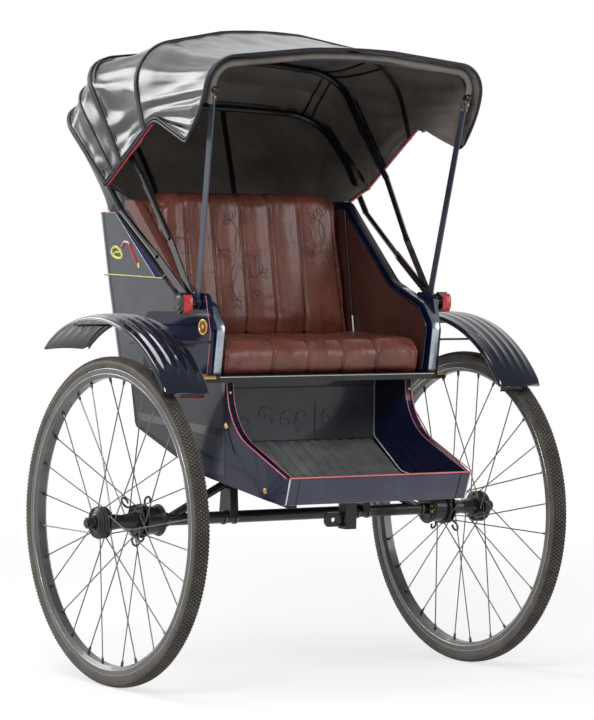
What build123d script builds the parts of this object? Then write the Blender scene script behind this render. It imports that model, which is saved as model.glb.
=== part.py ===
"""Two-wheeled rickshaw carriage with a folding hood.

Every size below is in millimetres, measured from the ground under the middle of the axle:
X to the passenger's left, Y to the rear and Z up, with the axle drawn at AXLE_Z. save() then
moves each piece so that the part's origin is the foot of the hitch post, which carries the
carriage when it is parked.
"""

from build123d import *
from math import atan2, cos, radians, sin, sqrt, tan
import os

# Driving sizes
WHEEL_RADIUS = 500.0
TRACK = 1322.0
AXLE_Z = 500.0
HITCH_Y = -280.0
HITCH_Z = 480.0
PIVOT_Y = -85.0
PIVOT_Z = 1163.0

# Wheels
TYRE_HALF_WIDTH = 25.0
TYRE_SEAT = WHEEL_RADIUS - 45.0
RIM_LIP = TYRE_SEAT + 8.0
RIM_INNER = WHEEL_RADIUS - 64.0
SPOKES = 28
SPOKE_RADIUS = 2.0
SPOKE_LEAD = 60.0
SPOKE_LAYER = 7.0
FLANGE_HOLES = 40.0
OUTER_FLANGE_X = 698.0
INNER_FLANGE_X = 586.0
HUB_INNER_X = 505.0
HUB_OUTER_X = 735.0
SPINDLE_RADIUS = 12.0
RUNNING_FIT = 0.05

# Axle and chassis
AXLE_TUBE_RADIUS = 19.0
AXLE_SHOULDER_X = 500.0
SPINDLE_END_X = 764.0
RAIL_X = 250.0
RAIL_SIZE = 28.0
BELLY_AT_AXLE = 629.0
BELLY_SLOPE = 0.13
STAY_RADIUS = 13.0
POST_SIZE = 40.0
PLATE_HOLE_RADIUS = 8.0

# Body
UPPER_HALF = 415.0
UPPER_THICK = 27.0
LOWER_HALF = UPPER_HALF - 69.0
LOWER_THICK = 24.0
SKIN = 14.0
QUARTER_FACE = UPPER_HALF + 11.0
BOARD_TOP = 946.0
BOARD_THICK = 20.0
BOARD_HALF = UPPER_HALF + 46.0
REAR_FOOT_Y = 440.0
REAR_BEND = 70.0
MAT_RIBS = 15
SHELL_THICK = QUARTER_FACE - UPPER_HALF
QUARTER_TOP = 1426.0
PAD_THICK = 10.0
SEAT_GAP = 0.3
PAD_INNER = UPPER_HALF - UPPER_THICK - PAD_THICK

# Fenders
FENDER_CENTRE_Y = 70.0
FENDER_CENTRE_Z = AXLE_Z + 123.0
FENDER_RADIUS = WHEEL_RADIUS - 5.0
FENDER_SHEET = 2.5
FENDER_LIP = 12.0
FENDER_INNER_X = TRACK / 2 - 121.0
FENDER_WIDTH = 160.0
FENDER_RIBS = 5
FENDER_START = 50.4
FENDER_SWEEP = 94.4

# Hood
EYE_RADIUS = 20.0
PIVOT_BOLT_RADIUS = 8.0
LEG_THICK = 5.0
LEG_GAP = 5.0
LEG_WIDTH = 24.0
FLAT_END = 255.0
BOW_RADIUS = 10.0
CLOTH = 5.0
BOW_INSET = CLOTH + BOW_RADIUS + 1.0


def save(name, shape):
    """Moves a piece from the ground frame to the hitch frame and writes it."""
    placed = Pos(0, -HITCH_Y, -HITCH_Z) * shape
    placed.label = name
    export_step(placed, f"parts/{name}.step")


def save_both(name, left):
    """Writes a piece of the left side (+X) and its mirror image on the right."""
    save(f"{name}_left", left)
    save(f"{name}_right", mirror(left, about=Plane.YZ))


def both_sides(left):
    """The left and right copies of a piece as one node of two solids."""
    return Compound(children=[left, mirror(left, about=Plane.YZ)])


def outline(rows):
    """A closed outline from rows of (u, v, corner radius)."""
    points = [(u, v) for u, v, _ in rows]
    return make_face(FilletPolyline(*points, radius=[r for _, _, r in rows], close=True))


def plate(rows, x_inner, thickness):
    """A flat plate: an outline of (y, z, corner radius) rows, thick along X."""
    face = Plane.YZ * outline(rows)
    return Pos(x_inner, 0, 0) * extrude(face, amount=thickness, dir=(1, 0, 0))


def across(rows, half_width):
    """A piece with the same (y, z) section right across the carriage."""
    return plate(rows, -half_width, 2 * half_width)


def turned(rows):
    """A piece turned about the axle, from rows of (x, radius from the axle, corner radius)."""
    return Pos(0, 0, AXLE_Z) * revolve(Plane.XZ * outline(rows), Axis.X, 360)


def rod(start, end, radius):
    """A round bar between two points."""
    line = Vector(*end) - Vector(*start)
    low = (Align.CENTER, Align.CENTER, Align.MIN)
    return Plane(origin=start, z_dir=line) * Cylinder(radius, line.length, align=low)


def bar(start, end, radius, sides=6):
    """A thin rod of few facets between two points."""
    line = Vector(*end) - Vector(*start)
    return extrude(Plane(origin=start, z_dir=line) * RegularPolygon(radius, sides), line.length)


def x_disc(x_start, length, radius, y=0.0, z=0.0):
    """A round bar along X."""
    return rod((x_start, y, z), (x_start + length, y, z), radius)


# ---------------------------------------------------------------- wheels

def tyre(middle):
    """Pneumatic tyre with a flat tread, seated between the rim's two lips."""
    rows = [
        (-19.0, TYRE_SEAT + 0.2, 0),
        (19.0, TYRE_SEAT + 0.2, 0),
        (19.0, RIM_LIP + 1, 0),
        (TYRE_HALF_WIDTH, RIM_LIP + 11, 0),
        (TYRE_HALF_WIDTH - 2, WHEEL_RADIUS - 8, 0),
        (TYRE_HALF_WIDTH - 12, WHEEL_RADIUS, 0),
        (12 - TYRE_HALF_WIDTH, WHEEL_RADIUS, 0),
        (2 - TYRE_HALF_WIDTH, WHEEL_RADIUS - 8, 0),
        (-TYRE_HALF_WIDTH, RIM_LIP + 11, 0),
        (-19.0, RIM_LIP + 1, 0),
    ]
    return turned([(middle + x, r, corner) for x, r, corner in rows])


def rim(middle):
    """Deep rim with a lip on each side of the tyre."""
    rows = [
        (-13.0, RIM_INNER, 0),
        (13.0, RIM_INNER, 0),
        (22.0, RIM_INNER + 11, 0),
        (22.0, RIM_LIP, 0),
        (19.2, RIM_LIP, 0),
        (19.2, TYRE_SEAT, 0),
        (-19.2, TYRE_SEAT, 0),
        (-19.2, RIM_LIP, 0),
        (-22.0, RIM_LIP, 0),
        (-22.0, RIM_INNER + 11, 0),
    ]
    return turned([(middle + x, r, corner) for x, r, corner in rows])


def hub():
    """Hub of the left wheel: inner drum, two spoke flanges, tapered barrel, outer disc."""
    bore = SPINDLE_RADIUS + RUNNING_FIT
    rows = [
        (HUB_INNER_X, bore, 0),
        (HUB_OUTER_X, bore, 0),
        (HUB_OUTER_X, 24, 0),
        (HUB_OUTER_X - 11, 47, 0),
        (HUB_OUTER_X - 27, 47, 0),
        (HUB_OUTER_X - 27, 30, 0),
        (OUTER_FLANGE_X + 2.5, 30, 0),
        (OUTER_FLANGE_X + 2.5, 46, 0),
        (OUTER_FLANGE_X - 2.5, 46, 0),
        (OUTER_FLANGE_X - 6, 27, 0),
        (640, 21, 0),
        (INNER_FLANGE_X + 2.5, 28, 0),
        (INNER_FLANGE_X + 2.5, 48, 0),
        (INNER_FLANGE_X - 2.5, 48, 0),
        (INNER_FLANGE_X - 2.5, 34, 0),
        (572, 34, 0),
        (572, 50, 0),
        (562, 50, 0),
        (562, 43, 0),
        (HUB_INNER_X + 10, 43, 0),
        (HUB_INNER_X, 48, 0),
    ]
    return turned(rows)


def spokes(middle):
    """Tangent-laced spokes: alternate ones go to the outer and inner flange, in two crossing
    layers, one on each face of the flange."""
    made = []
    for number in range(SPOKES):
        at_rim = radians((number + 0.5) * 360 / SPOKES)
        flange_x = OUTER_FLANGE_X if number % 2 else INNER_FLANGE_X
        layer = 1 if (number // 2) % 2 else -1
        at_hub = at_rim + layer * radians(SPOKE_LEAD)
        head_x = flange_x + layer * SPOKE_LAYER
        end_x = middle + (4 if number % 2 else -4)
        end_r = RIM_INNER - 0.6
        start = (head_x, FLANGE_HOLES * sin(at_hub), AXLE_Z + FLANGE_HOLES * cos(at_hub))
        end = (end_x, end_r * sin(at_rim), AXLE_Z + end_r * cos(at_rim))
        made.append(bar(start, end, SPOKE_RADIUS))
    return Compound(children=made)


def save_wheels():
    for name, maker in (("tyre", tyre), ("rim", rim), ("spokes", spokes)):
        save_both(name, maker(TRACK / 2))
    save_both("hub", hub())


# ---------------------------------------------------------------- axle and chassis

def axle():
    """Straight axle tube with a turned spindle at each end."""
    tube = x_disc(-AXLE_SHOULDER_X, 2 * AXLE_SHOULDER_X, AXLE_TUBE_RADIUS, 0, AXLE_Z)
    return tube + x_disc(-SPINDLE_END_X, 2 * SPINDLE_END_X, SPINDLE_RADIUS, 0, AXLE_Z)


def axle_nut():
    """Washer and hexagon nut that keep the left wheel on."""
    washer = x_disc(HUB_OUTER_X + 2, 3, 21, 0, AXLE_Z)
    hexagon = Plane.YZ * RegularPolygon(19, 6)
    nut = Pos(HUB_OUTER_X + 5, 0, AXLE_Z) * extrude(hexagon, amount=18, dir=(1, 0, 0))
    return washer + nut - x_disc(HUB_OUTER_X, 40, SPINDLE_RADIUS, 0, AXLE_Z)


def belly(y):
    """Height of the body's underside over a point ahead of the axle."""
    return BELLY_AT_AXLE + BELLY_SLOPE * y


def chassis_frame():
    """Two bent rails under the body, two crossbars and the saddles that sit on the axle."""
    front, knee, rear = -350.0, 30.0, 385.0
    rear_top = 748.0
    rows = [
        (front, belly(front) - RAIL_SIZE, 0),
        (knee, belly(knee) - RAIL_SIZE, 60),
        (rear, rear_top - RAIL_SIZE, 0),
        (rear, rear_top, 0),
        (knee, belly(knee) - 1, 40),
        (front, belly(front) - 1, 0),
    ]
    rail = plate(rows, RAIL_X - RAIL_SIZE / 2, RAIL_SIZE)
    saddle_rows = [
        (-34, AXLE_Z, 0),
        (34, AXLE_Z, 0),
        (24, belly(24) - 5, 0),
        (-24, belly(-24) - 5, 0),
    ]
    saddle = plate(saddle_rows, RAIL_X - RAIL_SIZE / 2, RAIL_SIZE)
    side = rail + saddle
    frame = side + mirror(side, about=Plane.YZ)
    for y, top in ((HITCH_Y, belly(HITCH_Y) - 2), (340.0, 728.0)):
        frame += Pos(0, y, top - RAIL_SIZE / 2) * Box(2 * RAIL_X, 30, RAIL_SIZE)
    return frame - x_disc(-AXLE_SHOULDER_X, 2 * AXLE_SHOULDER_X, AXLE_TUBE_RADIUS, 0, AXLE_Z)


def axle_stays(frame, axle_solid):
    """Diagonal tubes from the axle's ends up to the rails."""
    start = (462.0, 0.0, AXLE_Z + 8)
    end = (RAIL_X, 0.0, 612.0)
    stay = rod(start, end, STAY_RADIUS) - frame - axle_solid
    stay = stay.solids().sort_by(SortBy.VOLUME)[-1]
    return both_sides(stay)


def hitch_post():
    """Square tube that hangs under the footwell, closed at its foot."""
    wall = 3.0
    top = belly(HITCH_Y) - 2 - RAIL_SIZE
    height = top - HITCH_Z
    block = Pos(0, HITCH_Y, HITCH_Z + height / 2) * Box(POST_SIZE, POST_SIZE, height)
    room = Pos(0, HITCH_Y, HITCH_Z + height / 2 + wall) * Box(
        POST_SIZE - 2 * wall, POST_SIZE - 2 * wall, height
    )
    return block - room


def hitch_plate():
    """Drawbar plate on the post's right side, with its pin hole and a lightening slot."""
    start_x = -POST_SIZE / 2
    rows = [
        (start_x, 488, 0),
        (-76, 488, 8),
        (-86, 500, 8),
        (-86, 520, 8),
        (-76, 532, 8),
        (start_x, 532, 0),
    ]
    face = Plane.XZ * outline(rows)
    sheet = Pos(0, HITCH_Y + 3, 0) * extrude(face, amount=6, dir=(0, -1, 0))
    hole = rod((-54, HITCH_Y - 10, 510), (-54, HITCH_Y + 10, 510), PLATE_HOLE_RADIUS)
    slot = Pos(-31, HITCH_Y, 510) * Box(9, 20, 24)
    return sheet - hole - slot


# ---------------------------------------------------------------- lower body

def lower_side():
    """Sleigh-curved side wall of the footwell and seat box, in 24 mm board."""
    inner = LOWER_HALF - LOWER_THICK
    rows = [
        (-116, BOARD_TOP - BOARD_THICK, 0),
        (-128, 788, 195),
        (-456, 656, 8),
        (-430, 573, 14),
        (30, 634, 70),
        (400, 755, 30),
        (REAR_FOOT_Y, BOARD_TOP - BOARD_THICK, 0),
    ]
    wall = plate(rows, inner, LOWER_THICK)
    cut = [
        (LOWER_HALF - 14, -470),
        (LOWER_HALF + 14, -470),
        (LOWER_HALF + 14, -350),
        (LOWER_HALF, -350),
    ]
    corner = Pos(0, 0, AXLE_Z) * extrude(make_face(Polyline(*cut, close=True)), amount=300)
    return wall - corner


def front_lip():
    """Board across the front of the footwell."""
    rows = [(-456, 656, 5), (-441, 661, 5), (-417, 576, 0), (-430, 574, 5)]
    return across(rows, LOWER_HALF - LOWER_THICK)


def floor_pan():
    """Footwell floor, which rises steeply to the seat box."""
    rows = [
        (-415, belly(-415), 0),
        (-111, belly(-111), 40),
        (42, 706, 0),
        (42, 718, 0),
        (-111, belly(-111) + 10, 30),
        (-418, belly(-418) + 10, 0),
    ]
    return across(rows, LOWER_HALF - LOWER_THICK)


def floor_mat():
    """Rubber mat that follows the footwell floor, with ribs that run fore and aft."""
    knee = -111.0
    low, rear = (-408.0, belly(-408.0) + 10.3), (41.0, 718.3)
    half = LOWER_HALF - LOWER_THICK - 6

    def strip(bottom, top):
        rows = [
            (low[0], low[1] + bottom, 0),
            (knee, belly(knee) + 10.9 + bottom, 30),
            (rear[0], rear[1] + bottom, 0),
            (rear[0], rear[1] + top, 0),
            (knee, belly(knee) + 10.9 + top, 30),
            (low[0], low[1] + top, 0),
        ]
        return rows

    mat = across(strip(0, 4), half)
    pitch = 2 * half / MAT_RIBS
    for number in range(MAT_RIBS):
        x = -half + pitch * (number + 0.5)
        mat += plate(strip(3, 8), x - pitch / 4, pitch / 2)
    return mat


def footwell_back():
    """Upright board under the seat, behind the passenger's feet."""
    top = BOARD_TOP - BOARD_THICK
    rows = [(42.3, 706, 0), (54, 708, 0), (54, top, 0), (42.3, top, 0)]
    return across(rows, LOWER_HALF - LOWER_THICK)


def seat_box_shell():
    """Bent board that closes the seat box below and behind."""
    top = BOARD_TOP - BOARD_THICK
    rows = [
        (35, belly(30) + 6, 0),
        (398, 756, 25),
        (REAR_FOOT_Y - 2, top, 0),
        (REAR_FOOT_Y - 13, top, 0),
        (389, 767, 18),
        (35, belly(30) + 17, 0),
    ]
    return across(rows, LOWER_HALF - LOWER_THICK)


def seat_board():
    """Board under the seat, which runs out past the body at both sides."""
    rows = [
        (15 - UPPER_HALF, -166, 30),
        (UPPER_HALF - 15, -166, 30),
        (BOARD_HALF, -150, 5),
        (BOARD_HALF, -132, 8),
        (UPPER_HALF + 17, -60, 20),
        (UPPER_HALF + 17, 442, 30),
        (-UPPER_HALF - 17, 442, 30),
        (-UPPER_HALF - 17, -60, 20),
        (-BOARD_HALF, -132, 8),
        (-BOARD_HALF, -150, 5),
    ]
    return Pos(0, 0, BOARD_TOP - BOARD_THICK) * extrude(outline(rows), amount=BOARD_THICK)


# ---------------------------------------------------------------- upper body

def rear_face(z):
    """How far back the upper body's raked back stands at a height."""
    rows = [(BOARD_TOP, 420.0), (1180.0, 488.0), (1450.0, 555.0)]
    low, high = (rows[0], rows[1]) if z < rows[1][0] else (rows[1], rows[2])
    share = (z - low[0]) / (high[0] - low[0])
    return low[1] + share * (high[1] - low[1])


def rear_edge(z):
    """Row of an outer panel's rear edge, where the body's rounded corner begins."""
    return (rear_face(z) - REAR_BEND, z, 0)


def upper_side():
    """Side wall of the seat, cut like a chair's arm and wing."""
    rows = [
        (-150, BOARD_TOP, 0),
        (-170, 1096, 45),
        (-118, 1160, 40),
        (50, 1222, 110),
        (318, 1469, 55),
        (430, 1468, 30),
        rear_edge(QUARTER_TOP - 12),
        rear_edge(1180.0),
        rear_edge(BOARD_TOP),
    ]
    return plate(rows, UPPER_HALF - UPPER_THICK, UPPER_THICK)


def arm_plate():
    """Outer plate on the arm, with the lug that carries the hood's pivot."""
    rows = [
        (-146, BOARD_TOP, 0),
        (-160, 1080, 35),
        (-130, 1194, 26),
        (-40, 1194, 26),
        (-28, 1135, 22),
        (226, 1124, 34),
        (226, BOARD_TOP, 0),
    ]
    sheet = plate(rows, UPPER_HALF, SKIN)
    return sheet - x_disc(UPPER_HALF - 5, SKIN + 10, PIVOT_BOLT_RADIUS, PIVOT_Y, PIVOT_Z)


def quarter_panel():
    """Outer panel of the rear quarter, cut along the wing and the raised hood leg."""
    rows = [
        (226.5, BOARD_TOP, 0),
        (226.5, 1124.6, 34.4),
        (40, 1132.8, 8),
        (40, 1174, 16),
        (407, QUARTER_TOP, 12),
        rear_edge(QUARTER_TOP),
        rear_edge(1180.0),
        rear_edge(BOARD_TOP),
    ]
    return plate(rows, UPPER_HALF, SHELL_THICK)


def corner_plan(z, inset):
    """Plan of the rounded back at a height, from one quarter panel round to the other."""
    half, rear, bend = QUARTER_FACE - inset, rear_face(z) - inset, REAR_BEND - inset
    front = rear_face(z) - REAR_BEND + SEAT_GAP
    return half, rear, bend, front


def rear_panel():
    """Raked back with rounded corners, and the shelf behind the backrest."""
    sections = []
    for z in (BOARD_TOP, 1180.0, QUARTER_TOP):
        half, rear, bend, front = corner_plan(z, 0.0)
        inner_half, inner_rear, inner_bend, _ = corner_plan(z, SHELL_THICK)
        rows = [(-half, front, 0), (-half, rear, bend - 1), (half, rear, bend - 1), (half, front, 0)]
        rows += [(inner_half, front, 0), (inner_half, inner_rear, inner_bend - 1)]
        rows += [(-inner_half, inner_rear, inner_bend - 1), (-inner_half, front, 0)]
        sections.append(Pos(0, 0, z) * outline(rows))
    shell = loft(sections, ruled=True)
    shelf_rear = rear_face(QUARTER_TOP) - SHELL_THICK + 1
    shelf_half = UPPER_HALF - UPPER_THICK - SEAT_GAP
    shelf = Pos(0, (412 + shelf_rear) / 2, QUARTER_TOP - 5.5) * Box(2 * shelf_half, shelf_rear - 412, 11)
    return shell + shelf


def seat_cushion():
    """Seat cushion with a rolled front."""
    foot = BOARD_TOP + SEAT_GAP
    rows = [(-138, foot, 18), (-154, 1042, 40), (228, 1048, 18), (228, foot, 6)]
    return across(rows, PAD_INNER - 6)


def backrest():
    """Padded backrest, leaning back."""
    rows = [(236, 1050, 16), (306, 1474, 36), (404, 1478, 14), (330, 1050, 10)]
    return across(rows, PAD_INNER - SEAT_GAP)


def side_pad():
    """Leather pad on the inside of the arm."""
    rows = [
        (-126, BOARD_TOP, 10),
        (-148, 1090, 34),
        (-104, 1146, 30),
        (56, 1206, 100),
        (322, 1450, 42),
        (396, 1448, 10),
        (320, BOARD_TOP, 10),
    ]
    return plate(rows, PAD_INNER, PAD_THICK)


# ---------------------------------------------------------------- fenders

def fender():
    """Fluted wheel guard, a ribbed section swung about a centre above the axle."""
    pitch = FENDER_WIDTH / (FENDER_RIBS + 0.5)
    first = FENDER_INNER_X + FENDER_WIDTH / 2 - pitch * (FENDER_RIBS - 1) / 2
    outer = [(FENDER_INNER_X, -FENDER_LIP), (FENDER_INNER_X, 0.0)]
    inner = [(FENDER_INNER_X + FENDER_SHEET, -FENDER_LIP), (FENDER_INNER_X + FENDER_SHEET, -FENDER_SHEET)]
    for number in range(FENDER_RIBS):
        x = first + number * pitch
        outer += [(x - 10, 0.0), (x - 5, 7.0), (x + 5, 7.0), (x + 10, 0.0)]
        inner += [
            (x - 9, -FENDER_SHEET),
            (x - 4, 7.0 - FENDER_SHEET),
            (x + 4, 7.0 - FENDER_SHEET),
            (x + 9, -FENDER_SHEET),
        ]
    end = FENDER_INNER_X + FENDER_WIDTH
    outer += [(end, 0.0), (end, -FENDER_LIP)]
    inner += [(end - FENDER_SHEET, -FENDER_SHEET), (end - FENDER_SHEET, -FENDER_LIP)]
    ring = [(x, FENDER_RADIUS + h) for x, h in outer + inner[::-1]]
    section = Plane.XZ * make_face(Polyline(*ring, close=True))
    hinge = Axis((0, 0, 0), (1, 0, 0))
    swung = revolve(section, hinge, FENDER_SWEEP)
    start = FENDER_START - 90
    return Pos(0, FENDER_CENTRE_Y, FENDER_CENTRE_Z) * (Rot(start, 0, 0) * swung)


def fender_brackets():
    """Flat bars from the arm plate out under the fender's two turned-down lips."""
    reach = FENDER_RADIUS - FENDER_LIP - SEAT_GAP
    bars = []
    for y in (PIVOT_Y - 55.0, PIVOT_Y + 270.0):
        offset = abs(y - FENDER_CENTRE_Y) + 12.5
        top = FENDER_CENTRE_Z + sqrt(reach**2 - offset**2)
        start = UPPER_HALF + SKIN
        length = FENDER_INNER_X + FENDER_WIDTH - start
        bars.append(Pos(start + length / 2, y, top - 3) * Box(length, 25, 6))
    return Compound(children=bars + [mirror(bar, about=Plane.YZ) for bar in bars])


# ---------------------------------------------------------------- hood

# Each bow: lean of its arch and of its legs from upright in degrees, the flat leg's place in
# the stack at the pivot, then (x, distance from the pivot) of the leg's top, and of the
# cloth's shoulder with its bend, and the crown.
BOWS = {
    "front": {
        "lean": -10.7,
        "leg_lean": -10.7,
        "place": 0,
        "leg": (UPPER_HALF + 56, 632),
        "shoulder": (UPPER_HALF + 84, 742, 78),
        "crown": 796,
    },
    "mid": {
        "lean": 39.5,
        "leg_lean": 36.5,
        "place": 1,
        "leg": (UPPER_HALF + 50, 480),
        "shoulder": (UPPER_HALF + 80, 952, 130),
        "crown": 1015,
    },
    "rear": {
        "lean": 51.0,
        "leg_lean": 55.5,
        "place": 2,
        "leg": (UPPER_HALF + 50, 480),
        "shoulder": (UPPER_HALF + 85, 946, 135),
        "crown": 992,
    },
}


def bow_plane(lean):
    """Plane through the hood's pivot axis: x across, y out along the leaning leg."""
    angle = radians(lean)
    return Plane(origin=(0, PIVOT_Y, PIVOT_Z), x_dir=(1, 0, 0), z_dir=(0, -cos(angle), sin(angle)))


def crown_radius(half, rise):
    """Largest corner radius that fits a shallow roof point."""
    turn = atan2(max(abs(rise), 5.0), half)
    return 0.62 * half / tan(turn)


def eye_x(place):
    """Inner face of a flat leg in the stack on the pivot bolt."""
    return UPPER_HALF + SKIN + LEG_GAP + place * (LEG_THICK + LEG_GAP)


def leg(bow):
    """Leg of the left side: flat with an eye at the pivot, round above unless it is the strut."""
    x = eye_x(bow["place"])
    top_x, top_r = bow["leg"]
    round_leg = bow["place"] > 0
    start_r = 60.0
    rows = [
        (x, 0),
        (x + LEG_THICK, 0),
        (x + LEG_THICK, start_r),
        (top_x, top_r),
        (top_x - LEG_THICK, top_r),
        (x, start_r),
    ]
    if round_leg:
        rows = [(x, 0), (x + LEG_THICK, 0), (x + LEG_THICK, FLAT_END), (x, FLAT_END)]
    plane = bow_plane(bow["leg_lean"])
    flat = extrude(plane * make_face(Polyline(*rows, close=True)), amount=LEG_WIDTH / 2, both=True)
    made = flat + x_disc(x, LEG_THICK, EYE_RADIUS, PIVOT_Y, PIVOT_Z)
    if round_leg:
        foot = plane.from_local_coords((x + LEG_THICK / 2, FLAT_END - 18, 0))
        head = plane.from_local_coords((top_x, top_r, 0))
        made += bar(tuple(foot), tuple(head), BOW_RADIUS - 1, 8)
    else:
        head = plane.from_local_coords((top_x - LEG_THICK / 2, top_r, 0))
        housing = Plane(origin=head, z_dir=(1, 0, 0)) * RegularPolygon(13, 8)
        made += extrude(housing, amount=7, both=True)
    return made - x_disc(x - 5, LEG_THICK + 10, PIVOT_BOLT_RADIUS + RUNNING_FIT, PIVOT_Y, PIVOT_Z)


def bow_tube(bow, legs):
    """Tube arched over the roof, with a straight piece down to each leg's top."""
    leg_x, leg_r = bow["leg"]
    shoulder_x, shoulder_r, bend = bow["shoulder"]
    x, r = shoulder_x - BOW_INSET, shoulder_r - BOW_INSET
    crown = bow["crown"] - BOW_INSET
    plane = bow_plane(bow["lean"])
    upright = bow["lean"] == bow["leg_lean"]
    low_x, low_r = (leg_x - 2, leg_r + 14) if upright else (x - 2, 0.74 * shoulder_r)
    points = [(low_x, low_r), (x, r), (0, crown), (-x, r), (-low_x, low_r)]
    radii = [bend - BOW_INSET, crown_radius(x, crown - r), bend - BOW_INSET]
    placed = plane * FilletPolyline(*points, radius=radii)
    section = Plane(origin=placed @ 0, z_dir=placed % 0) * RegularPolygon(BOW_RADIUS, 8)
    tube = sweep(section, path=placed)
    if not upright:
        head = bow_plane(bow["leg_lean"]).from_local_coords((leg_x, leg_r + 1, 0))
        elbow = plane.from_local_coords((low_x, low_r, 0))
        link = bar(tuple(head), tuple(elbow), BOW_RADIUS, 8)
        link += x_disc(low_x - 7, 14, BOW_RADIUS + 2, elbow.Y, elbow.Z)
        tube = tube + link + mirror(link, about=Plane.YZ)
    for one in legs:
        tube -= one
    return tube.solids().sort_by(SortBy.VOLUME)[-1]


def cloth_section(lean, low, shoulder, crown):
    """Arched strip of cloth in one leaning plane."""
    low_x, low_r = low
    x, r, bend = shoulder
    roof = crown_radius(x, crown - r)
    outer = [(-low_x, low_r, 0), (-x, r, bend), (0, crown, roof), (x, r, bend), (low_x, low_r, 0)]
    inner = [
        (low_x - CLOTH, low_r, 0),
        (x - CLOTH, r - CLOTH, bend - CLOTH),
        (0, crown - CLOTH, roof),
        (CLOTH - x, r - CLOTH, bend - CLOTH),
        (CLOTH - low_x, low_r, 0),
    ]
    return bow_plane(lean) * outline(outer + inner)


# Cloth panels: rows of lean, (x, r) of the hem, (x, r, bend) of the shoulder, r of the crown.
# The front panel's hem drops to a tip behind the strut and rises to a notch before it falls
# away to the rear bow.
MID_CLOTH = (BOWS["mid"]["shoulder"], BOWS["mid"]["crown"])
REAR_CLOTH = (BOWS["rear"]["shoulder"], BOWS["rear"]["crown"])
CURTAIN_X = QUARTER_FACE + CLOTH + SEAT_GAP
CANOPY_FRONT = [
    (-12.5, (UPPER_HALF + 97, 600), (UPPER_HALF + 90, 752, 95), 806),
    (-5.4, (UPPER_HALF + 99, 485), (UPPER_HALF + 89, 745, 114), 804),
    (16.0, (UPPER_HALF + 86, 577), (UPPER_HALF + 86, 793, 173), 877),
    (22.0, (UPPER_HALF + 86, 559), (UPPER_HALF + 85, 830, 190), 925),
    (39.4, (UPPER_HALF + 85, 542), *MID_CLOTH),
]
CANOPY_REAR = [
    (39.7, (UPPER_HALF + 85, 541), *MID_CLOTH),
    (51.2, (UPPER_HALF + 85, 560), *REAR_CLOTH),
]
CURTAIN = [
    (51.5, (UPPER_HALF + 85, 560), *REAR_CLOTH),
    (68.4, (CURTAIN_X, 600), (CURTAIN_X, 688, REAR_BEND + 2), 692),
]


def cloth(rows):
    sections = [cloth_section(*row) for row in rows]
    return loft(sections, ruled=True)


def pivot_bolt():
    """Bolt through the stacked eyes of the left side, with its washers and hexagon knob."""
    start = UPPER_HALF
    bolt = x_disc(start, 60, PIVOT_BOLT_RADIUS, PIVOT_Y, PIVOT_Z)
    slack = 0.25
    edges = [UPPER_HALF + SKIN] + [eye_x(place) + LEG_THICK + slack for place in range(3)]
    for place, edge in enumerate(edges[:3]):
        length = eye_x(place) - slack - edge
        bolt += x_disc(edge, length, 14, PIVOT_Y, PIVOT_Z)
    bolt += x_disc(edges[3], 8, 18, PIVOT_Y, PIVOT_Z)
    knob = Plane.YZ * RegularPolygon(32, 6, rotation=30)
    bolt += Pos(edges[3] + 8, PIVOT_Y, PIVOT_Z) * extrude(knob, amount=34, dir=(1, 0, 0))
    return bolt


def save_hood():
    for name, bow in BOWS.items():
        left = leg(bow)
        legs = [left, mirror(left, about=Plane.YZ)]
        save(f"{name}_legs", Compound(children=legs))
        save(f"{name}_bow", bow_tube(bow, legs))
    save("canopy_front", cloth(CANOPY_FRONT))
    save("canopy_rear", cloth(CANOPY_REAR))
    save("rear_curtain", cloth(CURTAIN))
    save("pivot_bolts", both_sides(pivot_bolt()))


def main():
    os.makedirs("parts", exist_ok=True)
    save_wheels()

    axle_solid = axle()
    frame = chassis_frame()
    save("axle", axle_solid)
    save("axle_nuts", both_sides(axle_nut()))
    save("chassis_frame", frame)
    save("axle_stays", axle_stays(frame, axle_solid))
    save("hitch_post", hitch_post())
    save("hitch_plate", hitch_plate())

    save_both("lower_side", lower_side())
    save("front_lip", front_lip())
    save("floor_pan", floor_pan())
    save("floor_mat", floor_mat())
    save("footwell_back", footwell_back())
    save("seat_box_shell", seat_box_shell())
    save("seat_board", seat_board())

    save_both("upper_side", upper_side())
    save_both("arm_plate", arm_plate())
    save_both("quarter_panel", quarter_panel())
    save("rear_panel", rear_panel())
    save("seat_cushion", seat_cushion())
    save("backrest", backrest())
    save("side_pads", both_sides(side_pad()))

    save_both("fender", fender())
    save("fender_brackets", fender_brackets())
    save_hood()


main()
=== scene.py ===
"""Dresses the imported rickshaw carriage: finishes, cloth, leather, stripes, studio and camera.

Sizes are metres. Heights and places are first given from the ground under the middle of the
axle, as a coachbuilder measures them, and site() moves them into the part's frame.
"""

from __future__ import annotations

import logging
import math
from collections.abc import Callable, Sequence
from dataclasses import dataclass, replace
from enum import Enum

import bmesh
import bpy
from mathutils import Matrix, Vector, noise
from mathutils.bvhtree import BVHTree

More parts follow.
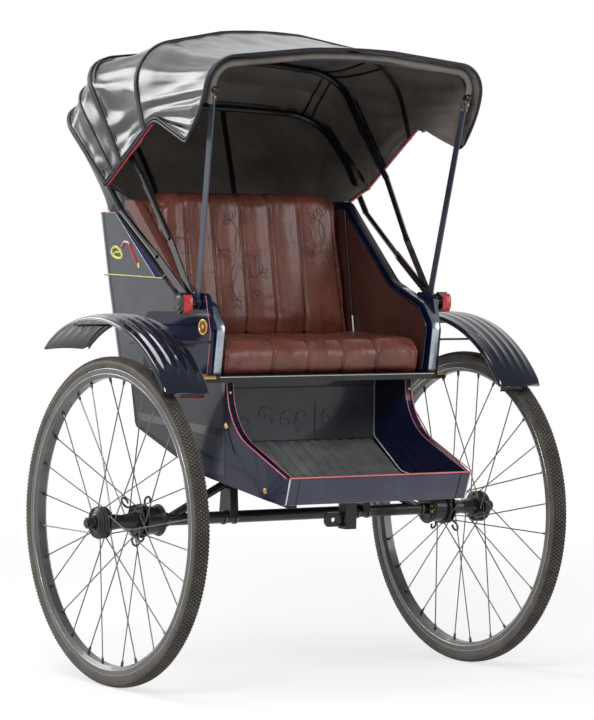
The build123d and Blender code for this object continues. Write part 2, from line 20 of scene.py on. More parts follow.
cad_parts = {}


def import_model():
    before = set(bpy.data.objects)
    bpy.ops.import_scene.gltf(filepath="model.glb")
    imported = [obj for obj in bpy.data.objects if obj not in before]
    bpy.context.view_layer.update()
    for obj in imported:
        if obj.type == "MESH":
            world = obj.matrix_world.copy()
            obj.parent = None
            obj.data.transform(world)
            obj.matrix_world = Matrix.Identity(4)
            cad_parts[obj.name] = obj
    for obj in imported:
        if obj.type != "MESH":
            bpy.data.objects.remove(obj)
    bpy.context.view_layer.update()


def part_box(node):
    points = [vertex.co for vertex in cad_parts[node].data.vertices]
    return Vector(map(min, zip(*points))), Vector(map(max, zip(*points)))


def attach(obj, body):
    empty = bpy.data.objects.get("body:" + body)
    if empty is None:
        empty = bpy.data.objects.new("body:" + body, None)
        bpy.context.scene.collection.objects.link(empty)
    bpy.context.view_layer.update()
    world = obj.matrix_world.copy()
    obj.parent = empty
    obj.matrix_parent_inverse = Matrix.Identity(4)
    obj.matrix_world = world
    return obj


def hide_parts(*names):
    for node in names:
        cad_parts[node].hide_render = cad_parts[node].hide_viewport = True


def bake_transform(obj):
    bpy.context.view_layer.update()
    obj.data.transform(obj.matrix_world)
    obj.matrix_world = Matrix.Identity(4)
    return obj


LOG = logging.getLogger("rickshaw")

HITCH_AHEAD = 0.280
HITCH_HEIGHT = 0.480
WHEEL_RADIUS = 0.500
TRACK = 1.322
PIVOT = (-0.085, 1.163)

Point = tuple[float, float, float]


def site(x: float, y: float, z: float) -> Vector:
    """A point measured from the ground under the axle, in the part's frame.

    Args:
        x: Distance to the passenger's left.
        y: Distance behind the axle.
        z: Height above the ground.

    Returns:
        The same point from the hitch post's foot.
    """
    return Vector((x, y + HITCH_AHEAD, z - HITCH_HEIGHT))


class Side(Enum):
    """The carriage's two sides, with the sign of X on each."""

    LEFT = 1
    RIGHT = -1

    @property
    def word(self) -> str:
        """The side's name as the nodes use it."""
        return self.name.lower()


class Body(Enum):
    """The bodies that pieces ride on."""

    CARRIAGE = "carriage"
    WHEEL_LEFT = "wheel_left"
    WHEEL_RIGHT = "wheel_right"
    HOOD_REAR = "hood_rear"
    HOOD_MID = "hood_mid"
    HOOD_FRONT = "hood_front"


# ---------------------------------------------------------------- node graph helper


class Graph:
    """A material's or world's node tree, built one line at a time."""

    def __init__(self, owner: bpy.types.Material | bpy.types.World) -> None:
        """Clear the owner's tree and give it an output.

        Args:
            owner: The new material or world.
        """
        owner.use_nodes = True
        self.owner = owner
        self.tree = owner.node_tree
        self.tree.nodes.clear()
        world = isinstance(owner, bpy.types.World)
        self.output = self.add("ShaderNodeOutputWorld" if world else "ShaderNodeOutputMaterial")

    def add(self, kind: str, inputs: dict[str | int, object] | None = None, **settings: object) -> bpy.types.Node:
        """Add a node.

        Args:
            kind: The node's type name.
            inputs: A socket, number or colour for each input, by its name or number.
            **settings: Attributes to set on the node.

        Returns:
            The new node.
        """
        node = self.tree.nodes.new(kind)
        for key, value in settings.items():
            setattr(node, key, value)
        for key, value in (inputs or {}).items():
            socket = node.inputs[key]
            if isinstance(value, bpy.types.NodeSocket):
                self.tree.links.new(value, socket)
            else:
                socket.default_value = (*value[:3], 1.0) if socket.type == "RGBA" else value
        return node

    def coordinates(self, scale: Point = (1.0, 1.0, 1.0)) -> bpy.types.NodeSocket:
        """Object coordinates, stretched along each axis."""
        place = self.add("ShaderNodeTexCoord").outputs["Object"]
        return self.add("ShaderNodeMapping", {"Vector": place, "Scale": scale}).outputs["Vector"]

    def noise(
        self, vector: bpy.types.NodeSocket, scale: float, detail: float, rough: float, warp: float = 0.0
    ) -> bpy.types.NodeSocket:
        """Noise value on a vector."""
        inputs = {"Vector": vector, "Scale": scale, "Detail": detail, "Roughness": rough, "Distortion": warp}
        return self.add("ShaderNodeTexNoise", inputs).outputs["Fac"]

    def cells(self, vector: bpy.types.NodeSocket, scale: float, feature: str) -> bpy.types.NodeSocket:
        """Voronoi distance on a vector."""
        inputs = {"Vector": vector, "Scale": scale}
        return self.add("ShaderNodeTexVoronoi", inputs, feature=feature).outputs["Distance"]

    def ramp(self, value: bpy.types.NodeSocket, *stops: tuple[float, Point]) -> bpy.types.NodeSocket:
        """Colour ramp over a value, with a place and colour for each stop.

        Args:
            value: What drives the ramp.
            *stops: Place and colour of each stop.

        Returns:
            The colour socket.
        """
        node = self.add("ShaderNodeValToRGB", {"Fac": value})
        elements = node.color_ramp.elements
        while len(elements) < len(stops):
            elements.new(0.5)
        for element, (place, colour) in zip(elements, stops):
            element.position = place
            element.color = (*colour, 1.0)
        return node.outputs["Color"]

    def span(self, value: bpy.types.NodeSocket, low: float, high: float) -> bpy.types.NodeSocket:
        """A value from 0..1 moved to low..high."""
        return self.add("ShaderNodeMapRange", {"Value": value, "To Min": low, "To Max": high}).outputs["Result"]

    def ease(
        self, value: bpy.types.NodeSocket, start: float, stop: float, low: float = 0.0, high: float = 1.0
    ) -> bpy.types.NodeSocket:
        """A smooth rise from low to high as a value goes from start to stop."""
        inputs = {"Value": value, "From Min": start, "From Max": stop, "To Min": low, "To Max": high}
        return self.add("ShaderNodeMapRange", inputs, interpolation_type="SMOOTHSTEP").outputs["Result"]

    def mix(self, factor: bpy.types.NodeSocket, one: object, other: object) -> bpy.types.NodeSocket:
        """Mix two colours, each a socket or plain numbers."""
        inputs = {"Factor": factor, "A": one, "B": other}
        return self.add("ShaderNodeMix", inputs, data_type="RGBA").outputs["Result"]

    def maths(self, operation: str, one: object, other: object) -> bpy.types.NodeSocket:
        """One sum on two values, each a socket or a number."""
        return self.add("ShaderNodeMath", {0: one, 1: other}, operation=operation).outputs["Value"]

    def bump(
        self, height: bpy.types.NodeSocket, depth: float, strength: float, under: bpy.types.NodeSocket | None = None
    ) -> bpy.types.NodeSocket:
        """Bump normal from a height, laid over another where given.

        Args:
            height: The height.
            depth: How far a height of 1 stands out, in metres.
            strength: Its share.
            under: The normal it is laid over.

        Returns:
            The normal socket.
        """
        inputs = {"Strength": strength, "Distance": depth, "Height": height}
        if under is not None:
            inputs["Normal"] = under
        return self.add("ShaderNodeBump", inputs).outputs["Normal"]

    def surface(self, shader: bpy.types.NodeSocket) -> None:
        """Join a shader to the output."""
        self.tree.links.new(shader, self.output.inputs["Surface"])

    def layered(self, share: bpy.types.NodeSocket, one: bpy.types.Node, other: bpy.types.Node) -> None:
        """Join two shaders to the output, the second by a share."""
        mix = self.add("ShaderNodeMixShader", {"Fac": share, 1: one.outputs[0], 2: other.outputs[0]})
        self.surface(mix.outputs["Shader"])


# ---------------------------------------------------------------- finishes


@dataclass(frozen=True)
class Finish:
    """What a surface is painted with or made of."""

    name: str
    slot: str
    colour: Point

    def sockets(self, graph: Graph) -> dict[str, object]:
        """The shader's inputs by name, each a number, colour or socket."""
        raise NotImplementedError

    def build(self) -> bpy.types.Material:
        """The material.

        Returns:
            The new material.
        """
        graph = Graph(bpy.data.materials.new(self.name))
        graph.surface(graph.add("ShaderNodeBsdfPrincipled", self.sockets(graph)).outputs["BSDF"])
        return graph.owner


@dataclass(frozen=True)
class Paint(Finish):
    """Coach enamel: a glossy colour under lacquer, a little dusty and rubbed."""

    rough: float = 0.22
    coat: float = 0.35
    metal: float = 0.0
    sheen: float = 0.25

    def sockets(self, graph: Graph) -> dict[str, object]:
        """Clouded colour, scuffed gloss and a little orange peel.

        Args:
            graph: The material's node graph.

        Returns:
            The inputs.
        """
        place = graph.coordinates()
        cloud = graph.noise(place, 7.0, 5.0, 0.6)
        speck = graph.noise(place, 190.0, 3.0, 0.7)
        dust = tuple(min(1.0, c * 1.4 + 0.004) for c in self.colour)
        deep = tuple(c * 0.82 for c in self.colour)
        scuff = graph.maths("MULTIPLY", cloud, speck)
        return {
            "Base Color": graph.ramp(cloud, (0.30, deep), (0.55, self.colour), (0.80, dust)),
            "Metallic": self.metal,
            "Roughness": graph.span(scuff, self.rough, self.rough + 0.12),
            "Specular IOR Level": self.sheen,
            "Coat Weight": self.coat,
            "Coat Roughness": 0.06,
            "Normal": graph.bump(graph.noise(place, 420.0, 1.0, 0.4), 0.00010, 0.25),
        }


@dataclass(frozen=True)
class Metal(Finish):
    """Bare or plated metal with fine working marks."""

    rough: float = 0.28

    def sockets(self, graph: Graph) -> dict[str, object]:
        """Stained colour and fine marks in the gloss.

        Args:
            graph: The material's node graph.

        Returns:
            The inputs.
        """
        marks = graph.noise(graph.coordinates(), 240.0, 4.0, 0.65)
        stain = graph.noise(graph.coordinates(), 12.0, 4.0, 0.6)
        dark = tuple(c * 0.62 for c in self.colour)
        return {
            "Base Color": graph.ramp(stain, (0.32, dark), (0.62, self.colour)),
            "Metallic": 1.0,
            "Roughness": graph.span(marks, self.rough - 0.08, self.rough + 0.16),
            "Normal": graph.bump(marks, 0.00008, 0.5),
        }


@dataclass(frozen=True)
class Rubber(Finish):
    """Matt rubber with a fine stipple and a dusty bloom."""

    bloom: Point
    rough: float

    def sockets(self, graph: Graph) -> dict[str, object]:
        """Bloom in clouds over a gritty skin.

        Args:
            graph: The material's node graph.

        Returns:
            The inputs.
        """
        place = graph.coordinates()
        cloud = graph.noise(place, 16.0, 6.0, 0.65)
        grit = graph.noise(place, 620.0, 3.0, 0.6)
        return {
            "Base Color": graph.ramp(cloud, (0.35, self.colour), (0.75, self.bloom)),
            "Roughness": graph.span(grit, self.rough - 0.08, self.rough + 0.14),
            "Specular IOR Level": 0.35,
            "Normal": graph.bump(grit, 0.0003, 0.6),
        }


@dataclass(frozen=True)
class Leather(Finish):
    """Waxed hide: pebbled grain, soft creases, and lighter where it is rubbed."""

    worn: Point
    dark: Point
    rough: float
    crease: float = 0.0016

    def sockets(self, graph: Graph) -> dict[str, object]:
        """Cracks over folds over pebbles, rubbed lighter where it folds.

        Args:
            graph: The material's node graph.

        Returns:
            The inputs.
        """
        place = graph.coordinates()
        cloud = graph.noise(place, 6.5, 6.0, 0.62, 0.4)
        pebble = graph.cells(place, 560.0, "F1")
        folds = graph.noise(graph.coordinates((1.0, 1.0, 0.45)), 21.0, 5.0, 0.55, 1.4)
        crack = graph.cells(graph.coordinates((1.0, 1.0, 0.6)), 34.0, "DISTANCE_TO_EDGE")
        line = graph.ramp(crack, (0.0, (0.0, 0.0, 0.0)), (0.05, (1.0, 1.0, 1.0)))
        base = graph.ramp(cloud, (0.28, self.dark), (0.50, self.colour), (0.74, self.worn))
        first = graph.bump(folds, self.crease * 2.0, 0.55)
        second = graph.bump(line, self.crease * 0.16, 0.35, first)
        return {
            "Base Color": graph.mix(graph.span(folds, 0.0, 0.55), base, self.worn),
            "Roughness": graph.span(cloud, self.rough - 0.08, self.rough + 0.16),
            "Specular IOR Level": 0.45,
            "Coat Weight": 0.18,
            "Coat Roughness": 0.32,
            "Normal": graph.bump(pebble, 0.00035, 0.5, second),
        }


@dataclass(frozen=True)
class Vinyl(Finish):
    """Coated hood cloth: soft sheen, leather-like grain and slack ripples."""

    faded: Point
    rough: float
    ripple: float = 0.0035
    gloss: float = 0.5
    coat: float = 0.3

    def sockets(self, graph: Graph) -> dict[str, object]:
        """Faded clouds, with grain over slow ripples.

        Args:
            graph: The material's node graph.

        Returns:
            The inputs.
        """
        place = graph.coordinates()
        cloud = graph.noise(place, 5.0, 6.0, 0.6, 0.5)
        slack = graph.noise(graph.coordinates((0.5, 1.0, 1.0)), 3.2, 1.5, 0.35, 0.8)
        first = graph.bump(slack, self.ripple * 8.0, 0.5)
        return {
            "Base Color": graph.ramp(cloud, (0.30, self.colour), (0.78, self.faded)),
            "Roughness": graph.span(cloud, self.rough - 0.05, self.rough + 0.12),
            "Specular IOR Level": self.gloss,
            "Coat Weight": self.coat,
            "Coat Roughness": 0.16,
            "Normal": graph.bump(graph.cells(place, 760.0, "F1"), 0.00016, 0.35, first),
        }


@dataclass(frozen=True)
class Lining(Finish):
    """Woven lining cloth inside the hood."""

    light: Point

    def sockets(self, graph: Graph) -> dict[str, object]:
        """A fine weave over slack cloth.

        Args:
            graph: The material's node graph.

        Returns:
            The inputs.
        """
        place = graph.coordinates()
        warp, weft = (
            graph.add("ShaderNodeTexWave", {"Vector": place, "Scale": 260.0}, bands_direction=way).outputs["Fac"]
            for way in "XZ"
        )
        slack = graph.bump(graph.noise(place, 8.0, 4.0, 0.5, 0.8), 0.010, 0.45)
        return {
            "Base Color": graph.ramp(graph.noise(place, 9.0, 5.0, 0.6), (0.30, self.colour), (0.75, self.light)),
            "Roughness": 0.46,
            "Specular IOR Level": 0.4,
            "Sheen Weight": 0.12,
            "Sheen Roughness": 0.5,
            "Normal": graph.bump(graph.maths("MULTIPLY", warp, weft), 0.0004, 0.45, slack),
        }


NAVY = Paint("navy_enamel", "navy_paint", (0.0030, 0.0050, 0.024), 0.12, 0.3, 0.0, 0.2)
GREY = Paint("slate_enamel", "grey_paint", (0.060, 0.064, 0.075), 0.26)
BLACK = Paint("black_enamel", "black_paint", (0.010, 0.010, 0.011), 0.30)
RED = Paint("red_line", "navy_paint", (0.42, 0.030, 0.035), 0.3)
GOLD = Paint("gold_line", "navy_paint", (0.70, 0.42, 0.07), 0.3, 0.6, 0.4)
FENDER = Paint("fender_enamel", "navy_paint", (0.005, 0.007, 0.016), 0.09, 0.6, 0.0, 0.4)
LILAC = Paint("lilac_slate", "navy_paint", (0.030, 0.031, 0.056), 0.22, 0.4)
PINK = Paint("pink_line", "navy_paint", (0.55, 0.14, 0.15), 0.35, 0.3)
WHITE = Paint("white_line", "navy_paint", (0.62, 0.63, 0.64), 0.3, 0.4)
YELLOW = Paint("yellow_line", "navy_paint", (0.62, 0.58, 0.10), 0.35, 0.3)
COBALT = Paint("cobalt_enamel", "navy_paint", (0.002, 0.004, 0.060), 0.16, 0.1, 0.0, 0.1)
SLATE = Paint("slate_gloss", "navy_paint", (0.010, 0.013, 0.026), 0.14, 0.4, 0.0, 0.3)
CAP = Paint("knob_cap", "black_paint", (0.014, 0.017, 0.016), 0.24)
STRIP = Metal("arm_strip", "grey_paint", (0.52, 0.56, 0.64), 0.22)
LEG = Paint("leg_gloss", "black_paint", (0.005, 0.005, 0.007), 0.08, 0.9, 0.0, 0.6)
STRUT = Paint("strut_blue", "black_paint", (0.052, 0.057, 0.080), 0.26, 0.4, 0.4)
STEEL = Metal("spoke_steel", "steel", (0.20, 0.195, 0.19), 0.46)
DARK_STEEL = Metal("nipple_steel", "steel", (0.13, 0.125, 0.12), 0.32)
RIM_EDGE = Metal("rim_edge", "rim_steel", (0.46, 0.46, 0.46), 0.26)
HUB_RUBBER = Rubber("hub_rubber", "black_paint", (0.016, 0.016, 0.016), (0.050, 0.048, 0.046), 0.42)
BRIGHT = Metal("bright_steel", "steel", (0.74, 0.74, 0.73), 0.18)
BRASS = Metal("brass", "steel", (0.72, 0.48, 0.18), 0.26)
RIM = Paint("rim_grey", "rim_steel", (0.105, 0.104, 0.102), 0.36, 0.4, 0.5)
TYRE = Rubber("tyre_rubber", "tyre_rubber", (0.052, 0.043, 0.034), (0.100, 0.086, 0.070), 0.55)
# Darker rubber on the carcass between the tread blocks: painted shade standing in for the shadow in the grooves.
GROOVE_SHADE = Rubber("tread_groove", "tyre_rubber", (0.012, 0.011, 0.009), (0.030, 0.027, 0.023), 0.8)
MAT = Rubber("mat_rubber", "mat_rubber", (0.080, 0.083, 0.082), (0.150, 0.154, 0.150), 0.55)
SEAT = Leather(
    "seat_leather", "seat_leather", (0.105, 0.028, 0.018), (0.170, 0.055, 0.038), (0.045, 0.012, 0.008), 0.27, 0.0026,
)
FACING = Leather(
    "facing_leather", "seat_leather", (0.092, 0.024, 0.015), (0.150, 0.046, 0.032), (0.045, 0.012, 0.008), 0.5, 0.0012,
)
SEAM = Leather("seam_leather", "seat_leather", (0.048, 0.012, 0.008), (0.070, 0.020, 0.013), (0.030, 0.008, 0.006), 0.6)
SILVER = Vinyl("silver_piping", "steel", (0.42, 0.42, 0.43), (0.62, 0.62, 0.63), 0.3, 0.0004)
PAD = Leather(
    "pad_leather", "pad_leather", (0.036, 0.009, 0.006), (0.055, 0.016, 0.011), (0.020, 0.005, 0.004), 0.45, 0.0006,
)
PIPING = Vinyl("hood_piping", "hood_vinyl", (0.003, 0.003, 0.006), (0.008, 0.009, 0.016), 0.28, 0.0004, 0.35, 0.1)
HOOD = Vinyl("hood_vinyl", "hood_vinyl", (0.014, 0.015, 0.018), (0.030, 0.031, 0.034), 0.22)
LINING = Lining("hood_lining", "hood_vinyl", (0.080, 0.068, 0.058), (0.150, 0.130, 0.112))


class Paintbox:
    """Builds each finish once and puts it on pieces."""

    def __init__(self) -> None:
        """Start with no material built."""
        self.made: dict[str, bpy.types.Material] = {}

    def material(self, finish: Finish) -> bpy.types.Material:
        """The material of a finish, built the first time it is asked for.

        Args:
            finish: The finish.

        Returns:
            Its material.
        """
        if finish.name not in self.made:
            self.made[finish.name] = finish.build()
        return self.made[finish.name]

    def dress(self, piece: bpy.types.Object, finish: Finish) -> None:
        """Put one finish all over a piece or CAD node."""
        piece.data.materials.clear()
        piece.data.materials.append(self.material(finish))

    def nodes(self, names: Sequence[str], finish: Finish) -> None:
        """Put one finish on CAD nodes, by name."""
        for name in names:
            self.dress(bpy.data.objects[name], finish)


# ---------------------------------------------------------------- studio


@dataclass
class Studio:
    """White floor and backdrop, soft lamps and the camera."""

    focal_px: float = 3687.7
    frame_height_px: float = 720.0
    sensor_mm: float = 36.0
    eye: Point = (-6.4650, -9.4618, 1.5874)
    yaw: float = 0.5989
    pitch: float = 0.0529
    roll: float = 0.0200
    floor_half: float = 40.0
    ambient: float = 0.26

    def camera(self) -> None:
        """The camera, at the height and turn of a visitor some way off."""
        data = bpy.data.cameras.new("camera")
        data.sensor_fit = "VERTICAL"
        data.sensor_height = self.sensor_mm
        data.lens = self.focal_px * self.sensor_mm / self.frame_height_px
        data.clip_end = 200.0
        camera = bpy.data.objects.new("camera", data)
        bpy.context.scene.collection.objects.link(camera)
        flat = math.cos(self.pitch)
        forward = Vector((math.sin(self.yaw) * flat, math.cos(self.yaw) * flat, -math.sin(self.pitch)))
        right = forward.cross(Vector((0, 0, 1))).normalized()
        upward = right.cross(forward)
        c, s = math.cos(self.roll), math.sin(self.roll)
        right, upward = c * right + s * upward, -s * right + c * upward
        turn = Matrix((right, upward, -forward)).transposed()
        camera.matrix_world = Matrix.Translation(site(*self.eye)) @ turn.to_4x4()
        bpy.context.scene.camera = camera

    def lamp(self, name: str, place: Point, aim: Point, size: float, power: float) -> None:
        """A soft square lamp.

        Args:
            name: The lamp's name.
            place: Where it stands, from the ground.
            aim: What it points at, from the ground.
            size: Its edge in metres.
            power: Its power in watts.
        """
        data = bpy.data.lights.new(name, "AREA")
        data.size = size
        data.energy = power
        lamp = bpy.data.objects.new(name, data)
        bpy.context.scene.collection.objects.link(lamp)
        start = site(*place)
        look = (site(*aim) - start).to_track_quat("-Z", "Y")
        lamp.matrix_world = Matrix.Translation(start) @ look.to_matrix().to_4x4()

    def lamps(self) -> None:
        """Key lamp high at the left, fill at the right, a broad top lamp and one behind."""
        self.lamp("key_lamp", (-4.6, -4.2, 4.8), (0.0, 0.1, 1.0), 2.6, 420.0)
        self.lamp("fill_lamp", (5.0, -3.6, 2.4), (0.0, 0.1, 0.9), 3.0, 110.0)
        self.lamp("top_lamp", (-0.6, 0.4, 5.2), (0.0, 0.1, 1.0), 2.6, 150.0)
        self.lamp("back_lamp", (-2.8, 4.5, 3.2), (0.0, 0.1, 1.0), 2.4, 120.0)

    def seen(self, graph: Graph) -> tuple[bpy.types.NodeSocket, bpy.types.NodeSocket]:
        """Two shares: 1 for rays that look straight, and 1 for rays that look by way of metal or glass."""
        path = graph.add("ShaderNodeLightPath").outputs
        return path["Is Camera Ray"], graph.maths("MAXIMUM", path["Is Glossy Ray"], path["Is Transmission Ray"])

    def world(self) -> None:
        """Pale surroundings: plain light on the object, white to the eye and behind it in metal."""
        world = bpy.data.worlds.new("studio")
        bpy.context.scene.world = world
        graph = Graph(world)
        straight, mirrored = self.seen(graph)
        way = graph.add("ShaderNodeTexCoord").outputs["Generated"]
        behind = graph.ease(graph.add("ShaderNodeSeparateXYZ", {"Vector": way}).outputs["Y"], -0.15, 0.35)
        share = graph.maths("MAXIMUM", straight, graph.maths("MULTIPLY", mirrored, behind))
        soft = graph.add("ShaderNodeBackground", {"Color": (0.92, 0.95, 1.0), "Strength": self.ambient})
        white = graph.add("ShaderNodeBackground", {"Color": (1.0, 1.0, 1.0), "Strength": 1.0})
        graph.layered(share, soft, white)

    def floor(self) -> None:
        """A wide pale floor that keeps the carriage's soft shadow and fades to white far off."""
        bpy.ops.object.select_all(action="DESELECT")
        bpy.ops.mesh.primitive_plane_add(size=2 * self.floor_half, location=site(0, 0, 0))
        floor = bpy.context.object
        floor.name = "floor"
        bpy.ops.object.transform_apply()
        graph = Graph(bpy.data.materials.new("floor_white"))
        away = graph.add("ShaderNodeVectorMath", {0: graph.coordinates()}, operation="LENGTH").outputs["Value"]
        near = graph.ease(away, 1.2, 5.0, 0.70, 1.0)
        share = graph.maths("MULTIPLY", graph.maths("MAXIMUM", *self.seen(graph)), near)
        pale = graph.add("ShaderNodeBsdfDiffuse", {"Color": (0.86, 0.86, 0.86)})
        glow = graph.add("ShaderNodeEmission", {"Strength": 1.0})
        graph.layered(share, pale, glow)
        floor.data.materials.append(graph.owner)

    def build(self) -> None:
        """Floor, lamps, world and camera."""
        bpy.context.scene.view_settings.view_transform = "Standard"
        self.floor()
        self.lamps()
        self.world()
        self.camera()


# ---------------------------------------------------------------- workbench


def eased(points: Sequence[Sequence[float]], bends: Sequence[float], steps: int = 6) -> list[Vector]:
    """A path with arcs at its inner corners.

    Args:
        points: Corners of the path.
        bends: Arc radius at each corner, 0 to keep it sharp.
        steps: Pieces in each arc.

    Returns:
        The points of the eased path.
    """
    corners = [Vector(p) for p in points]
    made = [corners[0]]
    for before, corner, after, bend in zip(corners, corners[1:], corners[2:], bends[1:]):
        to_before = (before - corner).normalized()
        to_after = (after - corner).normalized()
        half = to_before.angle(to_after) / 2
        if bend <= 0 or half > math.pi / 2 - 1e-3:
            made.append(corner)
            continue
        reach = bend / math.tan(half)
        middle = corner + (to_before + to_after).normalized() * (bend / math.sin(half))
        first = corner + to_before * reach - middle
        last = corner + to_after * reach - middle
        axis = first.cross(last).normalized()
        sweep = first.angle(last)
        for step in range(steps + 1):
            made.append(middle + Matrix.Rotation(sweep * step / steps, 3, axis) @ first)
    made.append(corners[-1])
    return made


def evened(points: Sequence[Vector], count: int) -> list[Vector]:
    """The same path with evenly spaced points.

    Args:
        points: The path.
        count: How many points to give.

    Returns:
        The new points.
    """
    lengths = [0.0]
    for one, other in zip(points, points[1:]):
        lengths.append(lengths[-1] + (other - one).length)
    made, index = [], 0
    for number in range(count):
        goal = lengths[-1] * number / (count - 1)
        while index < len(points) - 2 and lengths[index + 1] < goal:
            index += 1
        span = lengths[index + 1] - lengths[index]
        share = (goal - lengths[index]) / span if span > 1e-12 else 0.0
        made.append(points[index].lerp(points[index + 1], min(1.0, max(0.0, share))))
    return made


@dataclass
class Bench:
    """Where pieces are started, shaped, dressed and put on their body."""

    paintbox: Paintbox

    def clear(self) -> None:
        """Leave edit mode and deselect everything."""
        if bpy.context.object is not None and bpy.context.object.mode != "OBJECT":
            bpy.ops.object.mode_set(mode="OBJECT")
        bpy.ops.object.select_all(action="DESELECT")

    def only(self, piece: bpy.types.Object) -> None:
        """Select one piece and make it active.

        Args:
            piece: The piece.
        """
        self.clear()
        piece.select_set(True)
        bpy.context.view_layer.objects.active = piece

    def named(self, name: str) -> bpy.types.Object:
        """Name the active object and its mesh.

        Args:
            name: The name.

        Returns:
            The active object.
        """
        piece = bpy.context.object
        piece.name = name
        piece.data.name = name
        return piece

    def edit(self, choice: str = "SELECT") -> None:
        """Edit the active piece with everything selected, or nothing."""
        bpy.ops.object.mode_set(mode="EDIT")
        bpy.ops.mesh.select_all(action=choice)

    def done(self) -> None:
        """Leave edit mode."""
        bpy.ops.object.mode_set(mode="OBJECT")

    def outward(self) -> None:
        """Turn every face of the edited piece outward."""
        bpy.ops.mesh.select_all(action="SELECT")
        bpy.ops.mesh.normals_make_consistent(inside=False)

    def pick(self, piece: bpy.types.Object, kind: str, test: Callable[[object], bool]) -> None:
        """Select the edited piece's verts, edges or faces that pass a test.

        Args:
            piece: The piece.
            kind: What to select: verts, edges or faces.
            test: Says whether one of them is selected.
        """
        shape = bmesh.from_edit_mesh(piece.data)
        for part in getattr(shape, kind):
            part.select_set(test(part))
        shape.select_flush_mode()

    def modify(self, piece: bpy.types.Object, kind: str, **settings: object) -> None:
        """Put a modifier with the given settings on a piece.

        Args:
            piece: The piece.
            kind: The modifier's type.
            **settings: Its attributes.
        """
        modifier = piece.modifiers.new(kind.lower(), kind)
        for key, value in settings.items():
            setattr(modifier, key, value)

    def chain(self, name: str, points: Sequence[Vector], closed: bool = False) -> bpy.types.Object:
        """A line of edges, drawn by extruding one vertex from point to point.

        Args:
            name: The new object's name.
            points: The line's points.
            closed: Whether the last point joins the first.

        Returns:
            The line's object.
        """
        self.clear()
        bpy.ops.mesh.primitive_plane_add(size=0.001, location=points[0])
        piece = self.named(name)
        bpy.ops.object.transform_apply()
        self.edit()
        bpy.ops.mesh.merge(type="CENTER")
        for one, other in zip(points, points[1:]):
            bpy.ops.mesh.extrude_region_move(TRANSFORM_OT_translate={"value": tuple(other - one)})
        if closed:
            self.pick(piece, "verts", lambda vertex: len(vertex.link_edges) == 1)
            bpy.ops.mesh.edge_face_add()
        self.done()
        return piece

    def cube(self, name: str) -> bpy.types.Object:
        """A cube with edges of 1 about the frame's origin.

        Args:
            name: The new object's name.

        Returns:
            The cube.
        """
        self.clear()
        bpy.ops.mesh.primitive_cube_add(size=1.0, location=(0, 0, 0))
        return self.named(name)

    def tube(
        self, name: str, points: Sequence[Vector], radius: float, closed: bool = False, sides: int = 2
    ) -> bpy.types.Object:
        """A round bead or rod along a line.

        Args:
            name: The new object's name.
            points: The line's points.
            radius: The bead's radius.
            closed: Whether the line is a ring.
            sides: Roundness, where 2 gives eight sides.

        Returns:
            The bead's mesh object.
        """
        self.chain(name, points, closed)
        bpy.ops.object.convert(target="CURVE")
        curve = bpy.context.object
        curve.data.bevel_depth = radius
        curve.data.bevel_resolution = sides
        curve.data.use_fill_caps = True
        bpy.ops.object.convert(target="MESH")
        piece = self.named(name)
        bpy.ops.object.shade_smooth()
        return piece

    def band(
        self, name: str, points: Sequence[Vector], across: Sequence[float], thickness: float, bevel: float = 0.0
    ) -> bpy.types.Object:
        """A flat band: a line swept sideways and given thickness.

        Args:
            name: The new object's name.
            points: The line's points.
            across: The sideways sweep.
            thickness: The band's thickness, grown from its middle.
            bevel: Width of its eased edges.

        Returns:
            The band's object.
        """
        piece = self.chain(name, points)
        self.edit()
        bpy.ops.mesh.extrude_region_move(TRANSFORM_OT_translate={"value": tuple(across)})
        self.outward()
        self.done()
        self.modify(piece, "SOLIDIFY", thickness=thickness, offset=0.0, use_even_offset=True)
        if bevel > 0:
            self.modify(piece, "BEVEL", width=bevel, segments=2, limit_method="ANGLE", angle_limit=math.radians(50))
        self.apply(piece)
        self.smooth(piece)
        return piece

    def plate(
        self, name: str, rows: Sequence[tuple[float, float]], x: float, thickness: float, bevel: float
    ) -> bpy.types.Object:
        """A flat plate cut to an outline in a side face.

        Args:
            name: The new object's name.
            rows: Y and Z of the outline's corners, from the ground.
            x: Where its inner face is.
            thickness: How far it stands out.
            bevel: Width of its eased edges.

        Returns:
            The plate's object.
        """
        piece = self.chain(name, [site(x, y, z) for y, z in rows], closed=True)
        self.edit()
        bpy.ops.mesh.edge_face_add()
        bpy.ops.mesh.extrude_region_move(TRANSFORM_OT_translate={"value": (thickness, 0.0, 0.0)})
        self.outward()
        bpy.ops.mesh.bevel(offset=bevel, segments=1, affect="EDGES")
        self.done()
        self.smooth(piece)
        return piece

    def turned(
        self,
        name: str,
        rows: Sequence[tuple[float, float]],
        centre: Vector,
        axis: Sequence[float],
        steps: int,
        closed: bool = False,
    ) -> bpy.types.Object:
        """A piece turned on a lathe.

        Args:
            name: The new object's name.
            rows: Distance along the axis and radius, for each point of the profile.
            centre: Where distance and radius are counted from.
            axis: The axis it turns about.
            steps: Facets round it.
            closed: Whether the profile is a ring of its own.

        Returns:
            The turned object.
        """
        along = Vector(axis).normalized()
        out = along.orthogonal().normalized()
        points = [centre + along * place + out * max(radius, 1e-5) for place, radius in rows]
        piece = self.chain(name, points, closed)
        self.edit()
        bpy.ops.mesh.spin(steps=steps, angle=2 * math.pi, center=centre, axis=along)
        bpy.ops.mesh.select_all(action="SELECT")
        bpy.ops.mesh.remove_doubles(threshold=3e-5)
        self.outward()
        self.done()
        self.smooth(piece)
        return piece

